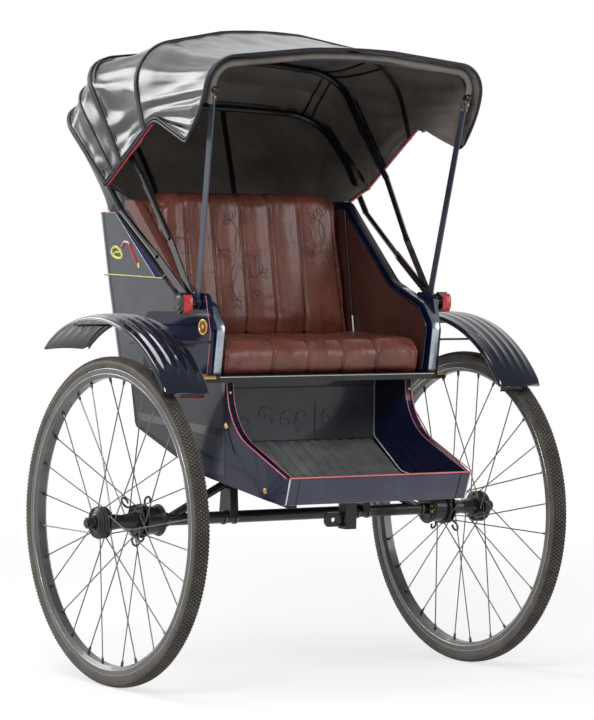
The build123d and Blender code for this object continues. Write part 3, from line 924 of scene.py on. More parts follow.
    def hexagon(
        self, name: str, place: Vector, axis: Sequence[float], radius: float, height: float, turn: float
    ) -> bpy.types.Object:
        """A hexagon head with a chamfered, slightly domed top.

        Args:
            name: The new object's name.
            place: The middle of its seat.
            axis: The way it stands up.
            radius: Radius over its corners.
            height: Its height.
            turn: Turn about the axis.

        Returns:
            The head's object.
        """
        self.clear()
        along = Vector(axis).normalized()
        lay = Matrix.Translation(place) @ along.to_track_quat("Z", "Y").to_matrix().to_4x4()
        bpy.ops.mesh.primitive_cylinder_add(vertices=6, radius=radius, depth=height, location=(0, 0, height / 2))
        piece = self.named(name)
        bpy.ops.object.transform_apply()
        self.edit("DESELECT")
        self.pick(piece, "faces", lambda face: face.normal.z > 0.5)
        bpy.ops.mesh.inset(thickness=radius * 0.16, depth=radius * 0.12)
        bpy.ops.mesh.inset(thickness=radius * 0.35, depth=radius * 0.04)
        bpy.ops.mesh.select_all(action="SELECT")
        bpy.ops.mesh.bevel(offset=radius * 0.03, segments=1, affect="EDGES")
        self.done()
        piece.data.transform(lay @ Matrix.Rotation(turn, 4, "Z"))
        self.smooth(piece, 30)
        return piece

    def ring_of(self, piece: bpy.types.Object, count: int, centre: Vector, axis: Sequence[float]) -> None:
        """Copy a piece's mesh round an axis until there are count of it.

        Args:
            piece: The piece to repeat.
            count: How many in the full ring.
            centre: A point on the axis.
            axis: The axis.
        """
        self.only(piece)
        self.edit()
        bpy.ops.mesh.spin(
            steps=count - 1,
            dupli=True,
            use_auto_merge=False,
            angle=2 * math.pi * (count - 1) / count,
            center=centre,
            axis=Vector(axis).normalized(),
        )
        self.done()

    def apply(self, piece: bpy.types.Object) -> None:
        """Apply every modifier of a piece.

        Args:
            piece: The piece.
        """
        self.only(piece)
        for name in [modifier.name for modifier in piece.modifiers]:
            bpy.ops.object.modifier_apply(modifier=name)

    def smooth(self, piece: bpy.types.Object, angle: float = 35.0) -> None:
        """Smooth shading under an angle in degrees."""
        self.only(piece)
        bpy.ops.object.shade_smooth_by_angle(angle=math.radians(angle))

    def copy(self, piece: bpy.types.Object, name: str, move: Matrix) -> bpy.types.Object:
        """A copy with its own mesh, moved by a matrix.

        Args:
            piece: The piece to copy.
            name: The copy's name.
            move: Where it goes; a mirror turns its faces back out.

        Returns:
            The copy.
        """
        self.only(piece)
        bpy.ops.object.duplicate(linked=False)
        twin = self.named(name)
        twin.data.transform(move)
        if move.determinant() < 0:
            self.edit()
            bpy.ops.mesh.flip_normals()
            self.done()
        return twin

    def mirrored(self, piece: bpy.types.Object, name: str) -> bpy.types.Object:
        """The same piece on the other side of the carriage."""
        return self.copy(piece, name, Matrix.Scale(-1, 4, (1, 0, 0)))

    def joined(self, name: str, pieces: Sequence[bpy.types.Object]) -> bpy.types.Object:
        """Several meshes as one piece.

        Args:
            name: The joined piece's name.
            pieces: The meshes.

        Returns:
            The joined piece.
        """
        self.clear()
        for piece in pieces:
            piece.select_set(True)
        bpy.context.view_layer.objects.active = pieces[0]
        if len(pieces) > 1:
            bpy.ops.object.join()
        return self.named(name)

    def settle(self, piece: bpy.types.Object, body: Body, finish: Finish) -> bpy.types.Object:
        """Dress a piece, put it on its body and report it.

        Args:
            piece: The finished mesh.
            body: The body it moves with.
            finish: Its finish.

        Returns:
            The same piece.
        """
        self.only(piece)
        bpy.ops.object.transform_apply()
        self.paintbox.dress(piece, finish)
        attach(piece, body.value)
        LOG.info("%s: %d faces on %s", piece.name, len(piece.data.polygons), body.value)
        return piece

    def pair(
        self, left: bpy.types.Object, stem: str, body: Body, finish: Finish, other: Body | None = None
    ) -> list[bpy.types.Object]:
        """Settle a left piece and its mirror image.

        Args:
            left: The piece on the passenger's left.
            stem: The name without the side.
            body: The left piece's body.
            finish: The finish of both.
            other: The right piece's body where it is another one.

        Returns:
            The left piece and the right one.
        """
        right = self.mirrored(left, f"{stem}_right")
        left.name = f"{stem}_left"
        return [self.settle(left, body, finish), self.settle(right, other or body, finish)]


# ---------------------------------------------------------------- hood


def crosswise(lean: float) -> Vector:
    """The direction square to a plane that leans by so many degrees, towards the back."""
    angle = math.radians(lean)
    return Vector((0.0, math.cos(angle), -math.sin(angle)))


@dataclass(frozen=True)
class Fold:
    """Where cloth bends as the hood folds: between two bodies, about a lean in degrees, over a reach in metres."""

    bodies: tuple[Body, Body]
    lean: float
    reach: float


FRONT_FOLD = Fold((Body.HOOD_FRONT, Body.HOOD_MID), 13.5, 0.27)
REAR_FOLD = Fold((Body.HOOD_MID, Body.HOOD_REAR), 45.4, 0.05)
BACK_FOLD = Fold((Body.HOOD_REAR, Body.CARRIAGE), 62.0, 0.10)
HOOD_MIDDLE = Vector((0.0, 0.35, 0.75))


@dataclass(frozen=True)
class Hoop:
    """The cloth's arched section in one plane through the pivot: its lean in degrees, sizes in metres."""

    lean: float
    low_x: float
    shoulder: tuple[float, float, float]
    crown: float

    def point(self, x: float, out: float) -> Vector:
        """A point at a distance out from the pivot along the leaning plane."""
        angle = math.radians(self.lean)
        return site(x, PIVOT[0] + out * math.sin(angle), PIVOT[1] + out * math.cos(angle))

    def half(self, hem: Vector, bend_out: float, counts: Sequence[int]) -> list[Vector]:
        """Points from the crown to the hem on the passenger's left.

        Args:
            hem: Where this section meets the hem.
            bend_out: Distance from the pivot at which the side turns towards the hem point.
            counts: Points in the crown, roof, shoulder and side.

        Returns:
            The points, crown first.
        """
        x, out, bend = self.shoulder
        rise = self.crown - out
        turn = math.atan2(rise, x)
        radius = 0.62 * x / math.tan(turn)
        reach = radius * math.tan(turn / 2)
        corner = Vector((x, out))
        roofward = Vector((-math.cos(turn), math.sin(turn)))
        downward = (Vector((self.low_x, bend_out)) - corner).normalized()
        half = roofward.angle(downward) / 2
        tangent = bend / math.tan(half)
        start, end = corner + roofward * tangent, corner + downward * tangent
        flat: list[Vector] = []
        top = Vector((0.0, self.crown)) - roofward * reach
        middle = Vector((0.0, top.y - math.sqrt(max(radius**2 - top.x**2, 0.0))))
        for step in range(counts[0]):
            angle = math.asin(top.x / radius) * step / counts[0]
            flat.append(middle + radius * Vector((math.sin(angle), math.cos(angle))))
        for step in range(counts[1]):
            flat.append(top.lerp(start, step / counts[1]))
        hub = corner + (roofward + downward).normalized() * (bend / math.sin(half))
        first, last = start - hub, end - hub
        sweep = first.angle(last)
        for step in range(counts[2]):
            turned = Matrix.Rotation(-sweep * step / counts[2], 2) @ first
            flat.append(hub + turned)
        points = [self.point(p.x, p.y) for p in flat]
        begin = self.point(end.x, end.y)
        control = self.point(self.low_x, bend_out)
        for step in range(counts[3] + 1):
            share = step / counts[3]
            points.append(begin * (1 - share) ** 2 + control * (2 * share * (1 - share)) + hem * share**2)
        return points


@dataclass
class ClothPanel:
    """A panel of hood cloth between two hoops, with its slack."""

    hoops: tuple[Hoop, Hoop]
    rows: int
    slack: float
    fold: float
    seed: float


@dataclass
class Hood:
    """The folding hood: its cloth and lining, piping and welts, curtain, front sleeve and the struts' heads."""

    bench: Bench
    cloth: float = 0.0026
    piping: float = 0.0042
    front: Hoop = Hoop(-12.5, 0.512, (0.505, 0.752, 0.095), 0.806)
    second: Hoop = Hoop(22.0, 0.503, (0.500, 0.830, 0.190), 0.925)
    middle: Hoop = Hoop(39.4, 0.500, (0.495, 0.952, 0.130), 1.015)
    fourth: Hoop = Hoop(45.4, 0.500, (0.494, 0.944, 0.132), 0.998)
    rear: Hoop = Hoop(51.2, 0.500, (0.500, 0.946, 0.135), 0.992)
    sleeve: Hoop = Hoop(-10.7, 0.480, (0.499, 0.742, 0.078), 0.796)
    tip: Point = (0.514, -0.131, 1.646)
    notch: Point = (0.501, 0.074, 1.718)
    heel: Point = (0.500, 0.351, 1.514)
    counts: tuple[int, int, int, int] = (14, 34, 36, 46)
    rib_columns: tuple[int, int] = (59, 65)

    def hem_line(self) -> list[Vector]:
        """The hem on the left, tip to notch to heel, with its corners rounded."""
        above = self.front.point(self.tip[0], 0.640)
        return eased([above, site(*self.tip), site(*self.notch), site(*self.heel)], (0, 0.022, 0.060, 0), 12)

    def hem_at(self, lean: float) -> Vector:
        """The hem's point on the left at a lean.

        Args:
            lean: Lean in degrees.

        Returns:
            The point.
        """
        line = self.hem_line()[1:]
        pivot = site(0.0, *PIVOT)
        away = crosswise(lean)
        if (line[0] - pivot).dot(away) >= -1e-4:
            return line[0]
        for one, other in zip(line, line[1:]):
            near, far = (one - pivot).dot(away), (other - pivot).dot(away)
            if near <= 0.0 <= far and far - near > 1e-9:
                return one.lerp(other, -near / (far - near))
        return line[-1]

    def section(self, hoop: Hoop) -> list[Vector]:
        """A whole hoop line from the right hem over the crown to the left hem.

        Args:
            hoop: The hoop.

        Returns:
            Its points, right hem first.
        """
        hem = self.hem_at(hoop.lean)
        bend_out = 0.600 if hoop.lean < 0 else (hem - hoop.point(hem.x, 0.0)).length
        left = hoop.half(hem, bend_out, self.counts)
        right = [Vector((-p.x, p.y, p.z)) for p in reversed(left[1:])]
        return right + left

    def surface(self, panel: ClothPanel) -> list[list[Vector]]:
        """The panel's grid of points, slack and folds included.

        Args:
            panel: The panel.

        Returns:
            Rows of points, one along each lean.
        """
        start, end = (self.section(hoop) for hoop in panel.hoops)
        first, last = panel.hoops[0].lean, panel.hoops[1].lean
        grid = []
        for row in range(panel.rows + 1):
            share = row / panel.rows
            line = [one.lerp(other, share) for one, other in zip(start, end)]
            if 0 < row < panel.rows:
                line = self.rehung(line, first + (last - first) * share)
            grid.append(line)
        return self.slackened(grid, panel)

    def rehung(self, line: list[Vector], lean: float) -> list[Vector]:
        """Bring a line's ends to the hem, easing the change up the side.

        Args:
            line: The line, changed in place.
            lean: Its lean in degrees.

        Returns:
            The same line.
        """
        side = self.counts[3]
        hem = self.hem_at(lean)
        left = hem - line[-1]
        right = Vector((-hem.x, hem.y, hem.z)) - line[0]
        for step in range(side):
            weight = (1 - step / side) ** 1.4
            line[-1 - step] = line[-1 - step] + left * weight
            line[step] = line[step] + right * weight
        return line

    def slackened(self, grid: list[list[Vector]], panel: ClothPanel) -> list[list[Vector]]:
        """Let the cloth hang in between its hoops, with folds pulled towards the seams.

        Args:
            grid: Rows of points.
            panel: The panel whose slack and folds are given.

        Returns:
            The new rows.
        """
        rows, columns = len(grid), len(grid[0])
        made = [list(line) for line in grid]
        for row in range(rows):
            share = row / (rows - 1)
            hang = math.sin(math.pi * share)
            for column in range(columns):
                up = grid[max(row - 1, 0)][column] - grid[min(row + 1, rows - 1)][column]
                along = grid[row][min(column + 1, columns - 1)] - grid[row][max(column - 1, 0)]
                normal = along.cross(up).normalized()
                place = grid[row][column]
                if normal.dot(place - HOOD_MIDDLE) < 0:
                    normal.negate()
                girth = abs(column - (columns - 1) / 2) / ((columns - 1) / 2)
                soft = noise.noise(Vector((place.x * 5.0 + panel.seed, place.y * 4.0, place.z * 4.0)))
                pull = noise.noise(Vector((girth * 17.0, share * 1.3 + panel.seed, place.x * 1.5)))
                drop = panel.slack * hang * (0.75 + 0.5 * soft)
                crease = panel.fold * pull * math.sqrt(max(hang, 0.0)) * (0.35 + 0.65 * girth)
                made[row][column] = place - normal * (drop + max(-0.4 * panel.slack, crease))
        return made

    def sheet_mesh(self, name: str, grid: list[list[Vector]]) -> bpy.types.Object:
        """A cloth mesh from a grid of points, outside face up.

        Args:
            name: The new object's name.
            grid: Rows of points.

        Returns:
            The mesh object.
        """
        columns = len(grid[0])
        points = [p for line in grid for p in line]
        faces = []
        for row in range(len(grid) - 1):
            for column in range(columns - 1):
                corner = row * columns + column
                faces.append((corner, corner + columns, corner + columns + 1, corner + 1))
        data = bpy.data.meshes.new(name)
        data.from_pydata(points, [], faces)
        data.update()
        piece = bpy.data.objects.new(name, data)
        bpy.context.scene.collection.objects.link(piece)
        middle = data.polygons[columns // 2]
        if middle.normal.z < 0:
            data.flip_normals()
        return piece

    def bend(self, piece: bpy.types.Object, fold: Fold) -> None:
        """Bake a piece's placement into its mesh.

        Args:
            piece: The piece.
            fold: Not used.
        """
        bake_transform(piece)

    def line_on(self, hoop: Hoop, lift: float, low: int = 0) -> list[Vector]:
        """A hoop's line, lifted off the cloth.

        Args:
            hoop: The hoop.
            lift: Height off the cloth, below 0 for inside it.
            low: How many points to leave out at each end.

        Returns:
            Every second point of the line.
        """
        line = self.section(hoop)
        line = line[low : len(line) - low]
        middle = hoop.point(0.0, 0.45)
        side = crosswise(hoop.lean)
        made = []
        for one, point, other in zip([line[0]] + line[:-1], line, line[1:] + [line[-1]]):
            along = (other - one).normalized()
            out = along.cross(side).normalized()
            if out.dot(point - middle) < 0:
                out.negate()
            made.append(point + out * lift)
        return made[::2] + ([made[-1]] if len(made) % 2 == 0 else [])

    def trim(self, name: str, line: Sequence[Vector], radius: float, finish: Finish, fold: Fold) -> None:
        """A bead on the cloth."""
        self.hang(self.bench.tube(name, line, radius), finish, fold)

    def hang(self, piece: bpy.types.Object, finish: Finish, fold: Fold) -> None:
        """Dress a piece and bake its placement into its mesh.

        Args:
            piece: The piece.
            finish: Its finish.
            fold: Not used.
        """
        self.bench.paintbox.dress(piece, finish)
        self.bend(piece, fold)

    def build(self) -> None:
        """Cloth panels and their piping."""
        grid = self.surface(ClothPanel((self.front, self.second), 44, 0.012, 0.015, 3.1))
        other = self.surface(ClothPanel((self.second, self.middle), 30, 0.014, 0.018, 7.7))
        self.ribs("roof_rib_front", other, FRONT_FOLD)
        self.finish_cloth("canopy_front", grid + other[1:], FRONT_FOLD)
        grid = self.surface(ClothPanel((self.middle, self.fourth), 14, 0.007, 0.010, 1.3))
        grid += self.surface(ClothPanel((self.fourth, self.rear), 14, 0.007, 0.010, 5.9))[1:]
        self.ribs("roof_rib_rear", grid, REAR_FOLD)
        self.finish_cloth("canopy_rear", grid, REAR_FOLD)
        self.curtain()
        self.seams()
        self.fittings()

    def finish_cloth(self, node: str, grid: list[list[Vector]], fold: Fold) -> None:
        """Make a cloth with its thickness and lining.

        Args:
            node: The CAD node it takes the place of.
            grid: The cloth's points.
            fold: Not used.
        """
        piece = self.sheet_mesh(f"{node}_cloth", grid)
        self.bench.modify(
            piece, "SOLIDIFY", thickness=self.cloth, offset=-1.0, material_offset=1, material_offset_rim=0
        )
        piece.data.materials.append(self.bench.paintbox.material(HOOD))
        piece.data.materials.append(self.bench.paintbox.material(LINING))
        self.bench.apply(piece)
        self.bench.smooth(piece, 60)
        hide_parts(node)
        self.bend(piece, fold)

    def inside(self, grid: list[list[Vector]], column: int, depth: float) -> list[Vector]:
        """The points of one column, moved in off the cloth's inner face.

        Args:
            grid: Rows of points.
            column: The column.
            depth: How far to move in.

        Returns:
            Every second point of the column.
        """
        made = []
        for row in range(0, len(grid), 2):
            line = grid[row]
            along = line[column + 1] - line[column - 1]
            down = grid[min(row + 1, len(grid) - 1)][column] - grid[max(row - 1, 0)][column]
            normal = along.cross(down).normalized()
            if normal.dot(line[column] - HOOD_MIDDLE) > 0:
                normal.negate()
            made.append(line[column] + normal * depth)
        return made

    def ribs(self, stem: str, grid: list[list[Vector]], fold: Fold) -> None:
        """Double piping along each shoulder, inside the hood.

        Args:
            stem: The pieces' name without the side.
            grid: Rows of points of the cloth.
            fold: Not used.
        """
        middle, depth = (len(grid[0]) - 1) // 2, self.cloth + 0.0014
        for side in Side:
            lines = [self.inside(grid, middle + side.value * column, depth) for column in self.rib_columns]
            made = [self.bench.tube(f"{stem}_{n}", line, 0.0034) for n, line in enumerate(lines)]
            self.hang(self.bench.joined(f"{stem}_{side.word}", made), PIPING, fold)

    def curtain(self) -> None:
        """The rear curtain, from the last hoop down to the shelf behind the backrest."""
        columns, rows, edge_columns = 161, 26, 14.0
        last, middle = columns - 1, columns // 2
        ends = [
            (0.414, 0.3340, 1.4712, 0.0), (0.411, 0.3740, 1.4706, 0.006),
            (0.403, 0.3860, 1.4310, 0.010), (0.400, 0.5320, 1.4300, 0.045),
        ]
        ends = [(-x, *row) for x, *row in ends] + [(x, *row) for x, *row in reversed(ends)]
        foot = eased([site(*row[:3]) for row in ends], [row[3] for row in ends], 10)
        top, foot = evened(self.section(self.rear), columns), evened(foot, columns)
        away = crosswise(self.rear.lean)
        grid = []
        for row in range(rows + 1):
            s = row / rows
            shares = ((1 - s) ** 3, 3 * s * (1 - s) ** 2, 3 * s**2 * (1 - s), s**3)
            line = []
            for column, (high, low) in enumerate(zip(top, foot)):
                side = max(0.0, min(1.0, (abs(high.x) - 0.42) / 0.06))
                edge = max(0.0, 1.0 - min(column, last - column) / edge_columns)
                near = (high + away * (0.034 - 0.014 * side)).lerp(high.lerp(low, 0.33), edge)
                far = (low + Vector((0.0, -0.012 * side, 0.075 - 0.035 * side))).lerp(high.lerp(low, 0.66), edge)
                knots = (high + away * 0.002 * (1 - edge), near, far, low)
                line.append(sum((knot * share for knot, share in zip(knots, shares)), Vector()))
            grid.append(line)
        grid = self.slackened(grid, ClothPanel((self.rear, self.rear), rows, 0.003, 0.005, 9.2))
        for word, column in (("right", 0), ("left", last)):
            self.trim(f"curtain_edge_{word}", [row[column] for row in grid], 0.0042, PIPING, BACK_FOLD)
        welt = [row[last] + Vector((0.0046, -0.0030, -0.0010)) for row in grid]
        self.trim("curtain_edge_welt", welt, 0.0026, RED, BACK_FOLD)
        for x, stem in ((-0.235, "right"), (0.120, "left")):
            column = min(range(middle - 40, middle + 41), key=lambda n: abs(grid[10][n].x - x))
            lines = [self.inside(grid, column + n, self.cloth + 0.0012) for n in (0, 1)]
            made = [self.bench.tube(f"batten_{stem}_{n}", line, 0.0044) for n, line in enumerate(lines)]
            self.hang(self.bench.joined(f"curtain_batten_{stem}", made), PIPING, BACK_FOLD)
        self.finish_cloth("rear_curtain", grid, BACK_FOLD)

    def seams(self) -> None:
        """Piping along every hoop inside and out, the front sleeve, and the hem on each side."""
        lift = self.piping * 0.55
        for stem, hoop, radius, fold in (
            ("piping_front", self.front, 0.0052, FRONT_FOLD),
            ("piping_front_back", replace(self.front, lean=-11.9), 0.0034, FRONT_FOLD),
            ("piping_second", self.second, self.piping, FRONT_FOLD),
            ("piping_second_back", replace(self.second, lean=22.7), 0.0034, FRONT_FOLD),
            ("piping_middle", self.middle, 0.0050, FRONT_FOLD),
            ("piping_middle_back", replace(self.middle, lean=40.0), 0.0036, REAR_FOLD),
            ("piping_fourth", self.fourth, 0.0034, REAR_FOLD),
            ("piping_rear", self.rear, 0.0062, REAR_FOLD),
        ):
            self.trim(stem, self.line_on(hoop, lift), radius, PIPING, fold)
        under = -self.cloth - 0.0034
        for stem, lean, fold in (
            ("lining_second_front", 21.5, FRONT_FOLD), ("lining_second_back", 22.5, FRONT_FOLD),
            ("lining_middle_front", 38.3, FRONT_FOLD), ("lining_middle_back", 40.5, REAR_FOLD),
            ("lining_rear", 50.0, REAR_FOLD),
        ):
            near = min((self.second, self.middle, self.rear), key=lambda hoop: abs(hoop.lean - lean))
            self.trim(stem, self.line_on(replace(near, lean=lean), under, 4), 0.0036, PIPING, fold)
        arch = self.line_on(self.sleeve, -0.0136, 30)
        self.bench.settle(self.bench.tube("front_sleeve", arch, 0.0128), Body.HOOD_FRONT, LINING)
        ahead = [self.front.lean + 0.5 * n for n in range(104)] + [self.middle.lean]
        behind = [self.middle.lean + 2.36 * n for n in range(6)]
        for side in Side:
            self.hem("hem_front", side, ahead, FRONT_FOLD)
            self.hem("hem_rear", side, behind, REAR_FOLD)

    def hem(self, stem: str, side: Side, leans: Sequence[float], fold: Fold) -> None:
        """Two rows of piping and a red welt along a stretch of one side's hem.

        Args:
            stem: The pieces' name without the side.
            side: The carriage's side.
            leans: The leans from the stretch's start to its end.
            fold: Not used.
        """
        line = [self.hem_at(lean) for lean in leans]
        line = [line[0]] + [p for q, p in zip(line, line[1:]) if (p - q).length > 1e-4]
        line = [Vector((p.x * side.value, p.y, p.z)) for p in line]
        second = []
        for one, p, other in zip([line[0]] + line, line, line[1:] + [line[-1]]):
            way = (other - one).normalized()
            up = Vector((0.0, -way.z, way.y)) * (1 if way.y > 0 else -1)
            second.append(p + up * 0.0095 + Vector((0.0008 * side.value, 0.0, 0.0)))
        welt = [p + Vector((-0.0052 * side.value, 0.0, -0.0045)) for p in line]
        welt = [p for p in welt if p.y > self.notch[1] + HITCH_AHEAD + 0.012]
        self.trim(f"{stem}_{side.word}", line, 0.0046, PIPING, fold)
        self.trim(f"{stem}_second_{side.word}", second, 0.0030, PIPING, fold)
        self.trim(f"{stem}_welt_{side.word}", welt, 0.0032, RED, fold)

    def fittings(self) -> None:
        """Ball joints, collars and pins at the struts' heads."""
        head = self.sleeve.point(0.471, 0.650)
        turns = [math.pi * n / 12 for n in range(13)]
        rows = [(0.012 * -math.cos(turn), 0.012 * math.sin(turn)) for turn in turns]
        ball = self.bench.turned("ball", rows, head + Vector((0.0, -0.012, 0.004)), (0, 0, 1), 24)
        self.bench.pair(ball, "strut_ball", Body.HOOD_FRONT, BLACK)
        along = (self.sleeve.point(0.470, 0.62) - site(0.440, *PIVOT)).normalized()
        rows = [(-0.006, 0.0080), (-0.005, 0.0098), (0.005, 0.0098), (0.006, 0.0080)]
        collar = self.bench.turned("collar", rows, head - along * 0.022, along, 24)
        self.bench.pair(collar, "strut_collar", Body.HOOD_FRONT, BRIGHT)
        rows = [(0.0, 0.0032), (0.0060, 0.0030), (0.0074, 0.0018), (0.0078, 0.0)]
        pin = self.bench.turned("pin", rows, head + Vector((0, -0.008, -0.018)), (0, -1, 0), 16)
        self.bench.pair(pin, "strut_pin", Body.HOOD_FRONT, BRASS)


# ---------------------------------------------------------------- upholstery


@dataclass
class Upholstery:
    """Stuffed cushion, channelled backrest and the arms' leather pads."""

    bench: Bench
    cushion_seams: tuple[float, ...] = (-0.178, -0.045, 0.083, 0.212)
    back_seams: tuple[float, ...] = (-0.340, -0.241, -0.140, -0.032, 0.078, 0.190, 0.345)
    groove: float = 0.0065
    thread: float = 0.0011
    board_top: float = 0.946
    back_foot: float = 1.0360
    pressure: float = 4.0
    frames: int = 20

    def blank(self, node: str, name: str, shrink: float, voxel: float) -> bpy.types.Object:
        """A remeshed copy of a CAD pad, a little smaller than it.

        Args:
            node: The CAD node to start from.
            name: The new piece's name.
            shrink: How far its skin starts inside.
            voxel: Size of the new mesh's squares.

        Returns:
            The blank, ready to be stuffed.
        """
        self.bench.only(bpy.data.objects[node])
        bpy.ops.object.duplicate(linked=False)
        piece = self.bench.named(name)
        self.bench.edit()
        bpy.ops.mesh.remove_doubles(threshold=1e-5)
        self.bench.outward()
        bpy.ops.transform.shrink_fatten(value=-shrink, use_even_offset=True)
        self.bench.done()
        piece.data.remesh_voxel_size = voxel
        bpy.ops.object.voxel_remesh()
        return piece

    def stuff(self, piece: bpy.types.Object, cap: float) -> None:
        """Blow a blank up as cloth, each point moving no further than the cap.

        Args:
            piece: The blank.
            cap: How far a point may move.
        """
        mesh = piece.data
        rest = [vertex.co.copy() for vertex in mesh.vertices]
        cloth = piece.modifiers.new("stuffing", "CLOTH")
        cloth.settings.use_pressure = True
        cloth.settings.uniform_pressure_force = self.pressure
        cloth.settings.effector_weights.gravity = 0.0
        cloth.point_cache.frame_start, cloth.point_cache.frame_end = 1, self.frames
        for frame in range(1, self.frames + 1):
            bpy.context.scene.frame_set(frame)
        blown = piece.evaluated_get(bpy.context.evaluated_depsgraph_get())
        moved = [vertex.co.copy() for vertex in blown.data.vertices]
        bpy.context.scene.frame_set(1)
        piece.modifiers.remove(cloth)
        for vertex, start, end in zip(mesh.vertices, rest, moved):
            step = end - start
            vertex.co = start + step * min(1.0, cap / max(step.length, 1e-9))

    def soften(self, piece: bpy.types.Object, rounds: int) -> None:
        """Smooth a piece's points, then divide its mesh once.

        Args:
            piece: The piece.
            rounds: How often its points are smoothed.
        """
        self.bench.only(piece)
        self.bench.modify(piece, "SMOOTH", iterations=rounds)
        self.bench.modify(piece, "SUBSURF", levels=1, render_levels=1)
        self.bench.apply(piece)

    def carve(self, piece: bpy.types.Object, shape: Callable[[Vector], float]) -> None:
        """Move each point along its normal by what shape gives.

        Args:
            piece: The piece.
            shape: Gives the move at a place.
        """
        normals = [vertex.normal.copy() for vertex in piece.data.vertices]
        for vertex, normal in zip(piece.data.vertices, normals):
            vertex.co = vertex.co + normal * shape(vertex.co)

    def keep_in(self, piece: bpy.types.Object, low: Vector, high: Vector) -> None:
        """Rest a piece against what it touches: no point passes the box."""
        for vertex in piece.data.vertices:
            vertex.co = Vector(min(max(v, a), b) for v, a, b in zip(vertex.co, low, high))

    def surface_line(
        self, tree: BVHTree, x: float, hub: tuple[float, float], start: float, stop: float, count: int, lift: float
    ) -> list[Vector]:
        """A line round a pad at one x, found by looking out from its middle.

        Args:
            tree: The pad's faces.
            x: Where the line runs.
            hub: Y and Z of the middle it looks out from, in the part's frame.
            start: First angle in degrees from straight back, rising over the top.
            stop: Last angle.
            count: How many points.
            lift: Height over the surface.

        Returns:
            The line's points.
        """
        points = []
        middle = Vector((x, *hub))
        for number in range(count):
            angle = math.radians(start + (stop - start) * number / (count - 1))
            way = Vector((0.0, math.cos(angle), math.sin(angle)))
            place, normal, _, _ = tree.ray_cast(middle + way, -way)
            if place is not None:
                points.append(place + normal * lift)
        return points

    def tree(self, piece: bpy.types.Object) -> BVHTree:
        """The faces of a piece, ready to be looked at."""
        mesh = piece.data
        return BVHTree.FromPolygons([v.co for v in mesh.vertices], [list(f.vertices) for f in mesh.polygons])

    def threads(self, name: str, lines: Sequence[Sequence[Vector]], finish: Finish, radius: float) -> None:
        """Thin raised or sunk lines on a pad, as one piece."""
        made = [self.bench.tube(f"{name}_{n}", line, radius, sides=1) for n, line in enumerate(lines) if len(line) > 2]
        self.bench.settle(self.bench.joined(name, made), Body.CARRIAGE, finish)

    def cushion_skin(self, place: Vector) -> float:
        """How far the cushion's skin stands out: soft waves, sunk at its seams and rolled down at its ends.

        Args:
            place: A point of the skin, in the part's frame.

        Returns:
            The move along its normal.
        """
        near = min(abs(place.x - seam) for seam in self.cushion_seams)
        ripple = noise.noise(place * 26.0) * 0.0012 + noise.noise(place * 9.0) * 0.0016
        end = max(0.0, abs(place.x) - 0.335) / 0.03
        return ripple - 0.0042 * math.exp(-((near / self.groove) ** 2)) + 0.003 * near / 0.06 - 0.002 * end

    def backrest_skin(self, place: Vector) -> float:
        """How far the backrest's skin stands out: waves and pulled creases, sunk at its channels.

        Args:
            place: A point of the skin, in the part's frame.

        Returns:
            The move along its normal.
        """
        near = min(abs(place.x - seam - self.fan(place.z)) for seam in self.back_seams)
        crease = noise.noise(Vector((place.x * 5.0, place.y * 5.0, place.z * 44.0)) + Vector((3.1, 0, 0)))
        pull = max(0.0, crease) * max(0.0, noise.noise(place * 6.0 + Vector((7, 0, 2))) + 0.35)
        wave = noise.noise(place * 8.0) * 0.0022
        edge = math.exp(-((near / 0.0075) ** 2))
        return wave + 0.0068 * pull - 0.0055 * edge + 0.0035 * min(1.0, near / 0.05) - 0.001

    def cushion(self) -> None:
        """The seat cushion: a rolled front, four double seams and a welt round each end."""
        piece = self.blank("seat_cushion", "seat_cushion_leather", 0.006, 0.0066)
        self.stuff(piece, 0.013)
        self.soften(piece, 4)
        self.carve(piece, self.cushion_skin)
        low = site(-0.3765, -0.163, self.board_top + 0.0003)
        self.keep_in(piece, low, site(0.3765, 0.233, 1.060))
        self.bench.smooth(piece, 60)
        tree = self.tree(piece)
        hub = (0.040 + HITCH_AHEAD, 0.995 - HITCH_HEIGHT)
        rows = [x + d for x in self.cushion_seams for d in (-0.0045, 0.0045)]
        lines = [self.surface_line(tree, x, hub, 55.0, 196.0, 60, 0.0001) for x in rows]
        self.threads("cushion_stitching", lines, SEAM, self.thread)
        welts = [self.surface_line(tree, x, hub, 40.0, 205.0, 70, 0.0008) for x in (-0.366, 0.366, -0.352, 0.352)]
        self.threads("cushion_welts", welts, SEAT, 0.0026)
        self.bench.settle(piece, Body.CARRIAGE, SEAT)
        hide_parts("seat_cushion")

    def back_face(self, height: float) -> float:
        """Y of the backrest's face at a height, both from the ground."""
        return 0.236 + 0.165 * (height - 1.056)

    def fan(self, z: float) -> float:
        """How far the backrest's channels lean to the left at a height in the part's frame."""
        return 0.010 * (0.80 - z) / 0.42

